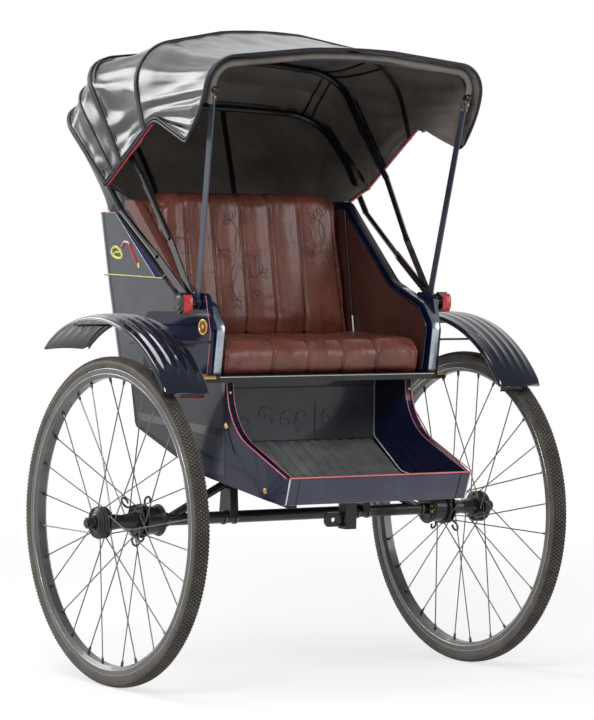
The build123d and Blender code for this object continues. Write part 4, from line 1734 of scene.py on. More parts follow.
    def backrest(self) -> None:
        """The backrest: upright channels, slack creases and tooled branches."""
        piece = self.blank("backrest", "backrest_leather", 0.006, 0.0072)
        self.stuff(piece, 0.012)
        self.soften(piece, 4)
        self.carve(piece, self.backrest_skin)
        levels = [vertex.co.z for vertex in piece.data.vertices]
        foot, low, band = self.back_foot - HITCH_HEIGHT, min(levels), 1.100 - HITCH_HEIGHT
        top, brow, crest = max(levels), 0.900, 1.484 - HITCH_HEIGHT
        for vertex in piece.data.vertices:
            x, y, z = vertex.co
            if z < band:
                z = foot + (z - low) * (band - foot) / (band - low)
                y = max(y, 0.2365 + HITCH_AHEAD) if z < band - 0.035 else y
            elif z > brow:
                z = brow + (z - brow) * (crest - brow) / (top - brow)
            face = HITCH_AHEAD + self.back_face(z + HITCH_HEIGHT)
            front = min(1.0, max(0.0, (face + 0.050 - y) / 0.045))
            side = min(1.0, max(0.0, (abs(x) - 0.250) / 0.110))
            rise = min(1.0, max(0.0, z - brow) / 0.080)
            x -= math.copysign(front * side * (0.010 + 0.020 * min(1.0, (z - foot) / 0.42)), x)
            vertex.co = Vector((x, y, z + rise * (0.011 - 0.026 * side**2)))
        self.keep_in(piece, site(-0.3775, 0.215, self.back_foot), site(0.3775, 0.409, 1.500))
        self.bench.smooth(piece, 60)
        tree = self.tree(piece)
        hub = (0.312 + HITCH_AHEAD, 1.26 - HITCH_HEIGHT)
        rows = [x + d for x in self.back_seams for d in (-0.0042, 0.0042)]
        lines = []
        for x in rows:
            line = self.surface_line(tree, x, hub, 95.0, 245.0, 90, 0.0001)
            lines.append([p + Vector((self.fan(p.z), 0, 0)) for p in line])
        self.threads("backrest_stitching", lines, SEAM, self.thread)
        self.threads("backrest_tooling", self.branches(tree), SEAM, 0.0009)
        self.bench.settle(piece, Body.CARRIAGE, SEAT)
        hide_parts("backrest")

    def branches(self, tree: BVHTree) -> list[list[Vector]]:
        """Tooled stems, leaves and buds that grow from two roots on the backrest.

        Args:
            tree: The backrest's faces.

        Returns:
            The lines, laid on its face.
        """
        flat: list[list[tuple[float, float]]] = []
        for root_x, root_z, reach, stems in ((-0.060, 1.285, 0.125, 9), (0.275, 1.330, 0.095, 7)):
            for stem in range(stems):
                turn = 2 * math.pi * stem / stems + 0.35
                sway = 0.9 if stem % 2 else -0.7
                line = []
                for step in range(13):
                    out = reach * (0.16 + 0.84 * step / 12) * (1.0 if stem % 3 else 0.72)
                    angle = turn + sway * (out / reach) ** 2 * 0.8
                    line.append((root_x + out * math.cos(angle) * 0.72, root_z + out * math.sin(angle)))
                flat.append(line)
                tip_x, tip_z = line[-1]
                for bud in range(2 + stem % 2):
                    spin = turn + sway * 0.9 + (bud - 0.5) * 1.1
                    size = 0.011 + 0.003 * (stem % 3)
                    leaf = []
                    for step in range(11):
                        share = 2 * math.pi * step / 10
                        along, side = size * (1 - math.cos(share)), size * 0.42 * math.sin(share)
                        x = tip_x + along * math.cos(spin) - side * math.sin(spin)
                        leaf.append((x, tip_z + along * math.sin(spin) + side * math.cos(spin)))
                    flat.append(leaf)
        made = []
        for line in flat:
            hits = []
            for x, z in line:
                if abs(x) < 0.352 and 1.07 < z < 1.455:
                    place, normal, _, _ = tree.ray_cast(site(x, -0.1, z), Vector((0, 1, 0)))
                    if place is not None:
                        hits.append(place + normal * 0.0002)
            made.append(hits)
        return made

    def side_pads(self) -> None:
        """The leather on the insides of the arms, with a black binding along its edge."""
        blanks = [self.blank("side_pads", f"side_pad_{side.word}", 0.0012, 0.0050) for side in Side]
        for side, piece in zip(Side, blanks):
            self.bench.only(piece)
            self.bench.edit("DESELECT")
            self.bench.pick(piece, "verts", lambda vertex: vertex.co.x * side.value < 0)
            bpy.ops.mesh.delete(type="VERT")
            self.bench.done()
            self.bench.modify(piece, "SMOOTH", iterations=6)
            self.bench.apply(piece)
            self.carve(piece, lambda place: noise.noise(place * 7.0) * 0.0018 + noise.noise(place * 30.0) * 0.0004)
            self.keep_in(piece, Vector((-0.388, -9, -9)), Vector((0.388, 9, 9)))
            self.bench.smooth(piece, 60)
            self.bench.settle(piece, Body.CARRIAGE, PAD)
            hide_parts("side_pads")
            rows = [(-0.128, 0.950), (-0.150, 1.090), (-0.106, 1.148), (0.055, 1.208), (0.321, 1.452), (0.398, 1.450)]
            line = [site(0.380 * side.value, y, z) for y, z in rows]
            binding = self.bench.tube(f"pad_binding_{side.word}", eased(line, (0, 0.036, 0.032, 0.1, 0.042, 0)), 0.0045)
            self.bench.settle(binding, Body.CARRIAGE, PIPING)
            for stem, low, high, finish in (("back_piping", 1.056, 1.106, SILVER), ("back_welt", 1.106, 1.441, PIPING)):
                heights = (low, (low + high) / 2, high)
                ends = [site(0.372 * side.value, self.back_face(height), height) for height in heights]
                self.bench.settle(self.bench.tube(f"{stem}_{side.word}", ends, 0.0025), Body.CARRIAGE, finish)

    def build(self) -> None:
        """Every soft piece of the seat."""
        self.cushion()
        self.backrest()
        self.side_pads()


# ---------------------------------------------------------------- wheels and fenders


@dataclass
class Wheel:
    """What the wire wheels carry: treaded tyres, nipples, rim lines and hub fittings."""

    bench: Bench
    track_half: float = TRACK / 2
    rim_inner: float = 0.436
    holes: float = 0.040
    spokes: int = 28
    lead: float = 60.0
    layer: float = 0.007
    flanges: tuple[float, float] = (0.586, 0.698)
    blocks: int = 260
    teeth: int = 44
    facets: int = 144
    carcass: tuple[tuple[float, float], ...] = (
        (0.0190, 0.4556), (0.0198, 0.4640), (0.0236, 0.4690), (0.0247, 0.4760), (0.0247, 0.4786), (0.0252, 0.4794),
        (0.0247, 0.4802), (0.0243, 0.4850), (0.0234, 0.4878), (0.0238, 0.4888), (0.0226, 0.4898), (0.0196, 0.4938),
        (0.0140, 0.4962), (0.0070, 0.4974),
    )
    tread: tuple[tuple[float, float, float, float], ...] = (
        (0.0, 0.4982, 0.0, 0.0060), (0.0086, 0.4977, 0.16, 0.0060),
        (0.0164, 0.4956, 0.42, 0.0054), (0.0218, 0.4914, 0.85, 0.0040),
    )
    groove_radius: float = 0.4886

    @property
    def centre(self) -> Vector:
        """The middle of the left wheel."""
        return site(self.track_half, 0.0, WHEEL_RADIUS)

    def pair(self, left: bpy.types.Object, stem: str, finish: Finish) -> list[bpy.types.Object]:
        """Settle a piece on the left wheel and its twin on the right one."""
        return self.bench.pair(left, stem, Body.WHEEL_LEFT, finish, Body.WHEEL_RIGHT)

    def tyre(self) -> None:
        """Turn the tyre's carcass, then set rows of small blocks round its tread; the carcass between the blocks gets
        darker rubber as painted groove shade.
        """
        rows = list(self.carcass) + [(0.0, 0.4977)] + [(-x, r) for x, r in reversed(self.carcass)]
        carcass = self.bench.turned("tyre", rows, self.centre, (1, 0, 0), self.facets, closed=True)
        blocks = []
        for number, (x, out, lean, wide) in enumerate(self.tread):
            for sign in ((1,) if x == 0 else (1, -1)):
                block = self.bench.cube(f"block_{number}_{sign}")
                self.bench.edit("DESELECT")
                self.bench.pick(block, "faces", lambda face: face.normal.z > 0.5)
                bpy.ops.transform.resize(value=(0.72, 0.72, 1.0))
                self.bench.done()
                turn = Matrix.Rotation(lean * sign, 4, "Y") @ Matrix.Diagonal((wide, 0.0074, 0.0032, 1.0))
                block.data.transform(Matrix.Translation(self.centre + Vector((sign * x, 0.0, out))) @ turn)
                start = math.radians(0.69 * (number % 2))
                block.data.transform(
                    Matrix.Translation(self.centre) @ Matrix.Rotation(start, 4, "X") @ Matrix.Translation(-self.centre)
                )
                self.bench.ring_of(block, self.blocks, self.centre, (1, 0, 0))
                blocks.append(block)
        count = len(carcass.data.polygons)
        tyre = self.bench.joined("tyre", [carcass] + blocks)
        for piece, side in zip(self.pair(tyre, "tyre_tread", TYRE), Side):
            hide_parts(f"tyre_{side.word}")
            # Carcass faces beyond the groove radius, under and between the tread blocks, get the darker rubber as
            # painted groove shade.
            piece.data.materials.append(self.bench.paintbox.material(GROOVE_SHADE))
            hub = site(0.0, 0.0, WHEEL_RADIUS)
            for face in piece.data.polygons[:count]:
                away = face.center - hub
                face.material_index = 1 if math.hypot(away.y, away.z) > self.groove_radius else 0

    def nipples(self) -> None:
        """A nipple where each spoke meets the rim, and a bent head where it leaves its flange."""
        made, heads = [], []
        for number in range(4):
            at_rim = math.radians((number + 0.5) * 360 / self.spokes)
            layer = 1 if (number // 2) % 2 else -1
            at_hub = at_rim + layer * math.radians(self.lead)
            head_x = self.flanges[number % 2] + layer * self.layer
            head = Vector((0.0, math.sin(at_hub), math.cos(at_hub))) * self.holes
            start = site(head_x, 0.0, WHEEL_RADIUS) + head
            end_x = self.track_half + (0.004 if number % 2 else -0.004)
            reach = self.rim_inner - 0.0006
            end = site(end_x, reach * math.sin(at_rim), WHEEL_RADIUS + reach * math.cos(at_rim))
            rows = [
                (-0.001, 0.0), (-0.001, 0.0042), (0.002, 0.0046), (0.013, 0.0040),
                (0.0145, 0.0028), (0.018, 0.0026), (0.018, 0.0),
            ]
            made.append(self.bench.turned(f"nipple_{number}", rows, end, start - end, 8))
            cap = [
                (-0.0032, 0.0), (-0.003, 0.0028), (-0.0012, 0.0042), (0.0012, 0.0042), (0.003, 0.0026), (0.0032, 0.0),
            ]
            heads.append(self.bench.turned(f"head_{number}", cap, start, (1, 0, 0), 8))
        for stem, pieces in (("nipples", made), ("spoke_heads", heads)):
            piece = self.bench.joined(stem, pieces)
            self.bench.ring_of(piece, self.spokes // 4, self.centre, (1, 0, 0))
            self.pair(piece, stem, DARK_STEEL)

    def ring(self, name: str, x: float, radius: float, thick: float) -> bpy.types.Object:
        """A round bead about the axle.

        Args:
            name: The new object's name.
            x: Where it stands along the axle.
            radius: The ring's radius.
            thick: The bead's radius.

        Returns:
            The bead.
        """
        self.bench.clear()
        bpy.ops.mesh.primitive_torus_add(
            location=site(x, 0.0, WHEEL_RADIUS), rotation=(0, math.pi / 2, 0),
            major_radius=radius, minor_radius=thick, major_segments=96 if radius > 0.1 else 40, minor_segments=8,
        )
        piece = self.bench.named(name)
        bpy.ops.object.transform_apply()
        bpy.ops.object.shade_smooth()
        return piece

    def rim_lines(self) -> None:
        """Bright rolled edges on the rim and a finer pair of lines nearer the hub."""
        for stem, away, radius, thick in (("rim_edges", 0.0206, 0.4632, 0.0016), ("rim_lines", 0.0221, 0.4475, 0.0012)):
            rings = [self.ring(f"{stem}_{x}", self.track_half + x, radius, thick) for x in (-away, away)]
            self.pair(self.bench.joined(stem, rings), stem, RIM_EDGE)

    def hub(self) -> None:
        """Ribbed outer disc, stepped inner discs, wire loops and a brass bolt."""
        ribs = (
            (0.7262, 0.0455), (0.7296, 0.0385), (0.7330, 0.0315), (0.7085, 0.0472), (0.7110, 0.0472), (0.7200, 0.0478),
        )
        steps = (
            (0.5060, 0.0470), (0.5048, 0.0400), (0.5040, 0.0330), (0.5150, 0.0440),
            (0.5670, 0.0508), (0.5860, 0.0485), (0.6980, 0.0465),
        )
        rings = [self.ring(f"rib_{n}", x, r, 0.0016) for n, (x, r) in enumerate(ribs)]
        rings += [self.ring(f"step_{n}", x, r, 0.0022) for n, (x, r) in enumerate(steps)]
        self.pair(self.bench.joined("hub_rings", rings), "hub_rings", HUB_RUBBER)
        tooth = self.bench.cube("tooth")
        place = Matrix.Translation(site(0.7155, 0.0, WHEEL_RADIUS + 0.0472))
        tooth.data.transform(place @ Matrix.Diagonal((0.007, 0.0030, 0.0030, 1.0)))
        self.bench.only(tooth)
        self.bench.edit()
        bpy.ops.mesh.bevel(offset=0.0007, segments=1, affect="EDGES")
        self.bench.done()
        self.bench.ring_of(tooth, self.teeth, self.centre, (1, 0, 0))
        self.pair(tooth, "hub_serration", HUB_RUBBER)
        self.pair(self.bench.joined("hub_loops", self.loops()), "hub_loops", HUB_RUBBER)
        seat = site(0.5052, -0.030, 0.5)
        bolt = self.bench.hexagon("hub_bolt", seat, (-1, 0, 0), 0.0095, 0.0075, 0.3)
        rows = [(0.0, 0.0125), (0.0015, 0.0125), (0.0022, 0.0110), (0.0022, 0.0)]
        washer = self.bench.turned("bolt_cap", rows, seat, (-1, 0, 0), 24)
        self.pair(self.bench.joined("hub_bolt", [bolt, washer]), "hub_bolt", BRASS)

    def loops(self) -> list[bpy.types.Object]:
        """Loops of wire tied round the hub, each at its own place and turn.

        Returns:
            One piece for each loop.
        """
        made = []
        for number, (x, turn, size) in enumerate(
            ((0.556, 18, 1.0), (0.606, -28, 1.0), (0.540, -52, 0.8), (0.600, 158, 1.0), (0.552, 205, 0.9))
        ):
            line = []
            for step in range(17):
                share = step / 16
                swing = math.pi * (1.5 * share - 0.25) * 1.15
                out = 0.044 + size * 0.017 * (1 - math.cos(swing + 0.25))
                aside = size * 0.013 * math.sin(swing * 1.05) + 0.006 * (share - 0.5)
                round_hub = Matrix.Rotation(math.radians(turn), 3, "X") @ Vector((0.0, 0.008 * (share - 0.5), out))
                line.append(site(0, 0, WHEEL_RADIUS) + (round_hub + Vector((x + aside, 0.0, 0.0))))
            made.append(self.bench.tube(f"loop_{number}", line, 0.0034))
        return made

    def build(self) -> None:
        """Every piece of both wheels."""
        self.tyre()
        self.nipples()
        self.rim_lines()
        self.hub()


@dataclass
class Fender:
    """Domed wheel guards with rolled edges and flutes that die away before the ends."""

    bench: Bench
    centre: tuple[float, float] = (0.070, 0.623)
    radius: float = 0.495
    inner_x: float = TRACK / 2 - 0.121
    width: float = 0.160
    rear: float = -39.6
    front: float = 54.8
    sheet: float = 0.0024
    rise: float = 0.0052
    columns: int = 56
    steps: int = 84
    flutes: tuple[float, ...] = (0.22, 0.41, 0.60, 0.79)

    def build(self) -> None:
        """Both guards: the section swung round its hub, then fluted, tucked at its ends and thickened."""
        edge = [(0.0, -0.0118), (0.0004, -0.0060), (0.0024, -0.0014), (0.0066, 0.0006)]
        start, height = edge[-1]
        count = self.columns
        dome = [
            (start + (self.width - 0.0132) * n / count, height + self.rise * math.sin(math.pi * n / count))
            for n in range(1, count)
        ]
        rows = edge + dome + [(self.width - x, h) for x, h in reversed(edge)]
        hub = site(0.0, *self.centre)
        first = math.radians(self.rear)
        way = Vector((0.0, -math.sin(first), math.cos(first)))
        line = [hub + Vector((self.inner_x + x, 0.0, 0.0)) + way * (self.radius + h) for x, h in rows]
        piece = self.bench.chain("fender", line)
        self.bench.edit()
        bpy.ops.mesh.spin(steps=self.steps, angle=math.radians(self.front - self.rear), center=hub, axis=(-1, 0, 0))
        bpy.ops.mesh.select_all(action="SELECT")
        bpy.ops.mesh.remove_doubles(threshold=1e-5)
        self.bench.outward()
        self.bench.done()
        low, high = math.radians(self.rear), math.radians(self.front)
        for vertex in piece.data.vertices:
            span = vertex.co - hub
            angle = math.atan2(-span.y, span.z)
            across = (vertex.co.x - self.inner_x) / self.width
            ends = min((angle - low) / 0.30, (high - angle) / 0.30)
            fade = max(0.0, min(1.0, ends)) ** 1.5
            near = min(abs(across - flute) for flute in self.flutes)
            ridge = 0.0034 * fade * math.exp(-((near / 0.050) ** 2))
            tuck = 0.010 * max(0.0, 1.0 - min((angle - low) / 0.10, (high - angle) / 0.05)) ** 2
            corner = max(0.0, abs(across - 0.5) - 0.40) / 0.10
            slide = 0.020 * corner**2 * max(0.0, 1.0 - min(angle - low, high - angle) / 0.12)
            out = span.normalized() if span.length else span
            out.x = 0.0
            out.normalize()
            back = Vector((0.0, out.z, -out.y)) * (1 if angle > 0 else -1)
            vertex.co = vertex.co + out * (ridge - tuck * 0.35) + back * slide
        self.bench.modify(piece, "SOLIDIFY", thickness=self.sheet, offset=-1.0)
        self.bench.apply(piece)
        self.bench.smooth(piece, 50)
        for twin, side in zip(self.bench.pair(piece, "fender_sheet", Body.CARRIAGE, FENDER), Side):
            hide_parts(f"fender_{side.word}")
        self.beads(hub)

    def on_arc(self, hub: Vector, x: float, out: float, turn: float) -> Vector:
        """The point at a turn forward from straight up, out from the hub and x from the guard's inner edge."""
        return hub + Vector((self.inner_x + x, -out * math.sin(turn), out * math.cos(turn)))

    def beads(self, hub: Vector) -> None:
        """A rolled bead along each edge of the guard and the clip at its foot, red-edged on the right.

        Args:
            hub: The middle of the guard's arc.
        """
        low, high = math.radians(self.rear + 1.5), math.radians(self.front - 1.0)
        made = []
        for x in (0.0012, self.width - 0.0012):
            turns = [low + (high - low) * step / 49 for step in range(50)]
            line = [self.on_arc(hub, x, self.radius - 0.0108, turn) for turn in turns]
            made.append(self.bench.tube(f"bead_{x:.3f}", line, 0.0026))
        self.bench.pair(self.bench.joined("fender_bead", made), "fender_bead", Body.CARRIAGE, FENDER)
        edge = [self.on_arc(hub, x, self.radius - 0.016, high) for x in (0.012, 0.094)]
        drop = Vector((0.0, 0.006, -0.014))
        clip = self.bench.band("clip", edge, drop, 0.0022, 0.0006)
        self.bench.pair(clip, "fender_clip", Body.CARRIAGE, BLACK)
        line = self.bench.tube("clip_line", [p + drop for p in edge], 0.0018)
        self.bench.settle(self.bench.mirrored(line, "fender_clip_line"), Body.CARRIAGE, RED)
        bpy.data.objects.remove(line)


# ---------------------------------------------------------------- body trim


Outline = Sequence[tuple[float, float]]


@dataclass
class Coachwork:
    """Panels, strips, lines and fittings laid on the body, mirrored to both sides."""

    bench: Bench
    quarter_x: float = 0.426
    arm_x: float = 0.429
    lower_x: float = 0.346
    badge: tuple[float, float] = (-0.112, 1.092)

    def put(self, piece: bpy.types.Object, stem: str, finish: Finish) -> None:
        """Settle a piece and its mirror image on the carriage."""
        self.bench.pair(piece, stem, Body.CARRIAGE, finish)

    def single(self, piece: bpy.types.Object, finish: Finish) -> None:
        """Settle a piece that isn't mirrored on the carriage."""
        self.bench.settle(piece, Body.CARRIAGE, finish)

    def bead(self, stem: str, line: Sequence[Vector], radius: float, finish: Finish) -> None:
        """A round bead along a line, on both sides."""
        self.put(self.bench.tube(stem, line, radius), stem, finish)

    def stripe(self, stem: str, x: float, rows: Sequence[Point], finish: Finish, radius: float) -> None:
        """A painted line on a side face, as a fine bead sunk in it.

        Args:
            stem: The piece's name without the side.
            x: The face's place.
            rows: Y, Z and bend of each corner, from the ground.
            finish: Its paint.
            radius: The bead's radius.
        """
        path = eased([site(x, y, z) for y, z, _ in rows], [bend for _, _, bend in rows])
        self.bead(stem, path, radius, finish)

    def panel(self, stem: str, x: float, rows: Outline, finish: Finish, thickness: float, bevel: float) -> None:
        """A thin plate on a side face, cut to an outline of Y and Z from the ground."""
        self.put(self.bench.plate(stem, rows, x, thickness, bevel), stem, finish)

    def strip(
        self, stem: str, rows: Sequence[Point], low: float, high: float, finish: Finish, other: Finish | None = None
    ) -> None:
        """A thin strip bent along an edge of the body, from one X to another.

        Args:
            stem: The piece's name without the side.
            rows: Y, Z and bend of each corner, from the ground.
            low: The inner X.
            high: The outer X.
            finish: What it is made of.
            other: The finish of the right one where it differs.
        """
        path = eased([site(low, y, z) for y, z, _ in rows], [bend for _, _, bend in rows], 10)
        piece = self.bench.band(stem, path, (high - low, 0.0, 0.0), 0.0016, 0.0005)
        right = self.bench.mirrored(piece, f"{stem}_right")
        piece.name = f"{stem}_left"
        self.single(piece, finish)
        self.single(right, other or finish)

    def arms(self) -> None:
        """Strips round the wing's edge, its leather, and the arm's lines and badge."""
        wing = [
            (-0.1509, 0.948, 0), (-0.1710, 1.0964, 0.046), (-0.1186, 1.1609, 0.041),
            (0.0496, 1.2230, 0.109), (0.3176, 1.4700, 0.056), (0.372, 1.4697, 0),
        ]
        self.strip("wing_strip", [*wing[:3], (0.0000, 1.2047, 0)], 0.3885, 0.4150, STRIP)
        self.strip("wing_cap", [(0.0005, 1.2049, 0), *wing[3:]], 0.3865, 0.4150, PIPING, FACING)
        facing = [
            (0.030, 1.2130), (0.0540, 1.2235), (0.3170, 1.4665), (0.3720, 1.4665),
            (0.3720, 1.4400), (0.3450, 1.4320), (0.0800, 1.1960),
        ]
        self.panel("wing_leather", 0.4146, facing, FACING, 0.0024, 0.0008)
        self.strip("wing_strip_edge", [(y - 0.0003, z + 0.0006, b) for y, z, b in wing], 0.3865, 0.3885, PIPING)
        line = [(-0.140, 0.952, 0), (-0.153, 1.080, 0.030), (-0.124, 1.186, 0)]
        self.stripe("arm_line", self.arm_x, line, PINK, 0.0011)
        self.stripe("arm_foot_line", self.arm_x, [(-0.140, 0.9485, 0), (0.222, 0.9485, 0)], RED, 0.0014)
        y, z = self.badge
        middle = site(self.arm_x, y, z)
        rows = [
            (-0.001, 0.0), (0.0012, 0.0), (0.0012, 0.0175), (0.0030, 0.0190),
            (0.0034, 0.0215), (0.0022, 0.0238), (-0.001, 0.0240),
        ]
        self.put(self.bench.turned("badge", rows, middle, (1, 0, 0), 40), "badge", GOLD)
        rows = [(0.0010, 0.0), (0.0020, 0.0), (0.0020, 0.0170), (0.0010, 0.0176)]
        self.put(self.bench.turned("badge_face", rows, middle, (1, 0, 0), 32), "badge_face", BLACK)
        ring = []
        for step in range(10):
            turn = step / 9 * 5.2 + 0.9
            ring.append(site(self.arm_x + 0.0024, y + 0.0125 * math.cos(turn), z + 0.0125 * math.sin(turn)))
        self.bead("badge_ring", ring, 0.0016, RED)
        curl = []
        for step in range(13):
            turn, size = step / 8 * 7.0, 1 - step / 14
            aside, rise = 0.0075 * math.cos(turn) * size, 0.0085 * math.sin(turn) * size
            curl.append(site(self.arm_x + 0.0026, y + aside, z + rise))
        self.bead("badge_curl", curl, 0.0013, YELLOW)

    def quarters(self) -> None:
        """The quarter panel's band, lines and scroll ornament."""
        x = self.quarter_x
        band = [(0.402, 1.4185), (0.171, 1.2335), (0.128, 1.2335), (0.137, 1.2395), (0.396, 1.4172)]
        self.panel("quarter_band", x - 0.0004, band, COBALT, 0.0014, 0.0004)
        hook = [(0.470, 1.2322, 0), (0.128, 1.2318, 0.012), (0.113, 1.2440, 0)]
        for stem, out, rows, finish, radius in (
            ("quarter_white", 0.0004, [(0.404, 1.4200, 0), (0.171, 1.2330, 0)], WHITE, 0.0013),
            ("quarter_edge", 0.0002, [(0.398, 1.4190, 0), (0.122, 1.2296, 0)], BLACK, 0.0018),
            ("quarter_line", 0.0, hook, YELLOW, 0.0015),
            ("quarter_line_shade", 0.0, [(y, z - 0.0035, bend) for y, z, bend in hook], BLACK, 0.0015),
            ("quarter_top", -0.0005, [(0.410, 1.4258, 0), (0.476, 1.4258, 0)], RED, 0.0019),
            ("quarter_top_dark", -0.0005, [(0.408, 1.4215, 0), (0.476, 1.4215, 0)], BLACK, 0.0012),
        ):
            self.stripe(stem, x + out, rows, finish, radius)
        leaf = []
        for step in range(17):
            turn = 2 * math.pi * step / 16
            c, s = math.cos(turn), math.sin(turn)
            leaf.append(site(x, 0.398 + 0.031 * c * (1 - 0.25 * s), 1.302 + 0.017 * s + 0.006 * c))
        self.bead("scroll_leaf", leaf, 0.0042, YELLOW)
        tongue = [(0.418, 1.296, 0), (0.402, 1.304, 0.01), (0.388, 1.302, 0.01), (0.372, 1.312, 0)]
        self.stripe("scroll_tongue", x, tongue, YELLOW, 0.0028)
        stem = [
            (0.368, 1.318, 0), (0.352, 1.336, 0.012), (0.326, 1.332, 0.014), (0.300, 1.298, 0.03), (0.272, 1.262, 0),
        ]
        self.stripe("scroll_stem", x, stem, RED, 0.0046)
        light = [(y + 0.001, z + 0.004, bend) for y, z, bend in stem]
        self.stripe("scroll_stem_light", x + 0.0022, light, WHITE, 0.0017)
        self.stripe("scroll_tip", x + 0.0010, [(0.270, 1.272, 0), (0.264, 1.258, 0)], YELLOW, 0.0036)

    def lowers(self) -> None:
        """Slate panels, bands, bolts and the line along the footwell's curved edge."""
        x = self.lower_x
        back = [(-0.118, 0.924), (-0.118, 0.640), (-0.010, 0.642), (0.030, 0.650), (0.385, 0.766), (0.424, 0.924)]
        belt = [(-0.118, 0.782), (-0.118, 0.754), (0.372, 0.776), (0.386, 0.800)]
        bar = [(0.082, 0.712), (0.090, 0.728), (-0.062, 0.690), (-0.066, 0.674)]
        post = [(-0.116, 0.925), (-0.098, 0.925), (-0.104, 0.790), (-0.116, 0.760)]
        wedge = [(-0.128, 0.790), (-0.096, 0.782), (-0.176, 0.706)]
        chin = [(-0.430, 0.602), (-0.300, 0.606), (-0.372, 0.660), (-0.446, 0.650)]
        for stem, out, rows, finish, thickness, bevel in (
            ("side_panel", -0.0004, back, SLATE, 0.0014, 0.0005),
            ("side_belt", 0.0008, belt, LEG, 0.0014, 0.0004),
            ("side_bar", 0.0008, bar, NAVY, 0.0012, 0.0003),
            ("side_post", 0.0011, post, LEG, 0.0016, 0.0004),
            ("side_wedge", 0.0012, wedge, NAVY, 0.0012, 0.0003),
            ("side_chin", -0.0136, chin, NAVY, 0.0014, 0.0004),
        ):
            self.panel(stem, x + out, rows, finish, thickness, bevel)
        edge = [(-0.1215, 0.924, 0), (-0.1330, 0.7865, 0.188), (-0.452, 0.6580, 0)]
        self.stripe("curve_line", x - 0.0006, edge, PINK, 0.0017)
        self.stripe("curve_line_inner", x - 0.0236, edge, PINK, 0.0009)
        rows = [(0.0050, 0.0), (0.0042, 0.0060), (0.0020, 0.0090), (0.0, 0.0095), (0.0, 0.0)]
        for number, (y, z) in enumerate(((-0.127, 0.792), (-0.344, 0.612))):
            bolt = self.bench.turned(f"bolt_{number}", rows, site(x + 0.001, y, z), (1, 0, 0), 20)
            self.put(bolt, f"side_bolt_{number}", BRASS)
        rows = [(0.0026, 0.0), (0.0022, 0.0036), (0.0, 0.0050), (0.0, 0.0)]
        screw = self.bench.turned("screw", rows, site(x - 0.011, -0.1245, 0.893), (0, -1, 0), 16)
        self.put(screw, "edge_screw", BRASS)

    def lip(self) -> None:
        """The skin, lines and joints of the board across the footwell's front."""
        cord = [site(sign * 0.334, -0.4558, 0.6578) for sign in (-1, 1)]
        self.single(self.bench.tube("lip_line", cord, 0.0024), PINK)
        joint = (0.298, -0.4568, 0.652), (0.296, -0.4318, 0.577)
        rim = (0.3335, -0.4560, 0.655), (0.3320, -0.4315, 0.577)
        for sign, word in ((-1, "right"), (1, "left")):
            for stem, ends, radius, finish in (("lip_joint", joint, 0.0012, BLACK), ("lip_edge", rim, 0.0022, SILVER)):
                line = [site(sign * x, y, z) for x, y, z in ends]
                self.single(self.bench.tube(f"{stem}_{word}", line, radius), finish)
        edge = [site(-0.3315, -0.4562, 0.6535), site(-0.3315, -0.4316, 0.5790)]
        self.single(self.bench.band("lip_skin", edge, (0.663, 0.0, 0.0), 0.0008, 0.0002), LILAC)

    def footwell(self) -> None:
        """The back board's rail, joint, tooled border and corner cords."""
        y = 0.0415
        edge = [site(-0.318, y, 0.896), site(-0.318, y, 0.924)]
        self.single(self.bench.band("back_rail", edge, (0.636, 0, 0), 0.0022, 0.0006), GREY)
        lines = [
            [site(-0.318, y, 0.8935), site(0.318, y, 0.8935)],
            [site(0.094, y, 0.725), site(0.094, y, 0.846)],
            [site(-0.318, y - 0.001, 0.7275), site(0.318, y - 0.001, 0.7275)],
        ]
        made = [self.bench.tube(f"joint_{n}", line, 0.0011) for n, line in enumerate(lines)]
        self.single(self.bench.joined("back_joints", made), BLACK)
        self.single(self.bench.joined("back_tooling", self.tooling(y + 0.0001)), GREY)
        corner = [(0.320, 0.0415, 0.924), (0.320, 0.0385, 0.735), (0.3195, -0.113, 0.635), (0.3195, -0.40, 0.592)]
        cord = eased([site(*place) for place in corner], (0, 0.02, 0.05, 0))
        self.bead("corner_cord", cord, 0.0018, SILVER)

    def tooling(self, y: float) -> list[bpy.types.Object]:
        """Curls and leaves across the footwell's back board.

        Args:
            y: The board's face.

        Returns:
            One piece for each line.
        """
        made = []
        for number, (x, z, size, sign) in enumerate(
            (
                (-0.225, 0.800, 0.030, 1), (-0.165, 0.785, 0.034, -1), (-0.105, 0.812, 0.026, 1),
                (-0.020, 0.790, 0.036, 1), (0.050, 0.806, 0.028, -1), (0.135, 0.796, 0.034, 1),
                (0.200, 0.786, 0.030, -1), (0.250, 0.812, 0.022, 1),
            )
        ):
            curl, leaf = [], []
            for step in range(22):
                share = step / 21
                turn, out = sign * (0.6 + 7.2 * share), size * (1.0 - 0.86 * share)
                along = x + sign * 0.35 * size * (1 - share)
                curl.append(site(along + out * math.cos(turn), y, z + out * math.sin(turn)))
            for t in (0, 0.2, 0.45, 0.7, 1):
                leaf.append(site(x + sign * size * (1.1 + 0.5 * t), y, z - size * (0.2 + 0.9 * math.sin(2.6 * t))))
            made += [
                self.bench.tube(f"{stem}_{number}", line, 0.0009, sides=1)
                for stem, line in (("curl", curl), ("leaf", leaf))
            ]
        return made

    def board(self) -> None:
        """The seat board's bright nose and the fittings at its ends."""
        nose = [site(x, -0.1664, 0.9425) for x in (-0.400, 0.400)]
        self.single(self.bench.tube("board_line", nose, 0.0012), SILVER)
        line = [site(0.415, -0.1655, 0.9470), site(0.458, -0.1515, 0.9470)]
        self.put(self.bench.band("board_tip", line, (0.0, 0.012, 0.0), 0.0016, 0.0005), "board_tip", BRASS)
        line = [site(0.414, -0.1665, 0.9375), site(0.4612, -0.1512, 0.9375)]
        self.put(self.bench.band("board_end", line, (0.0, 0.0, 0.0085), 0.0014, 0.0004), "board_end", BRASS)

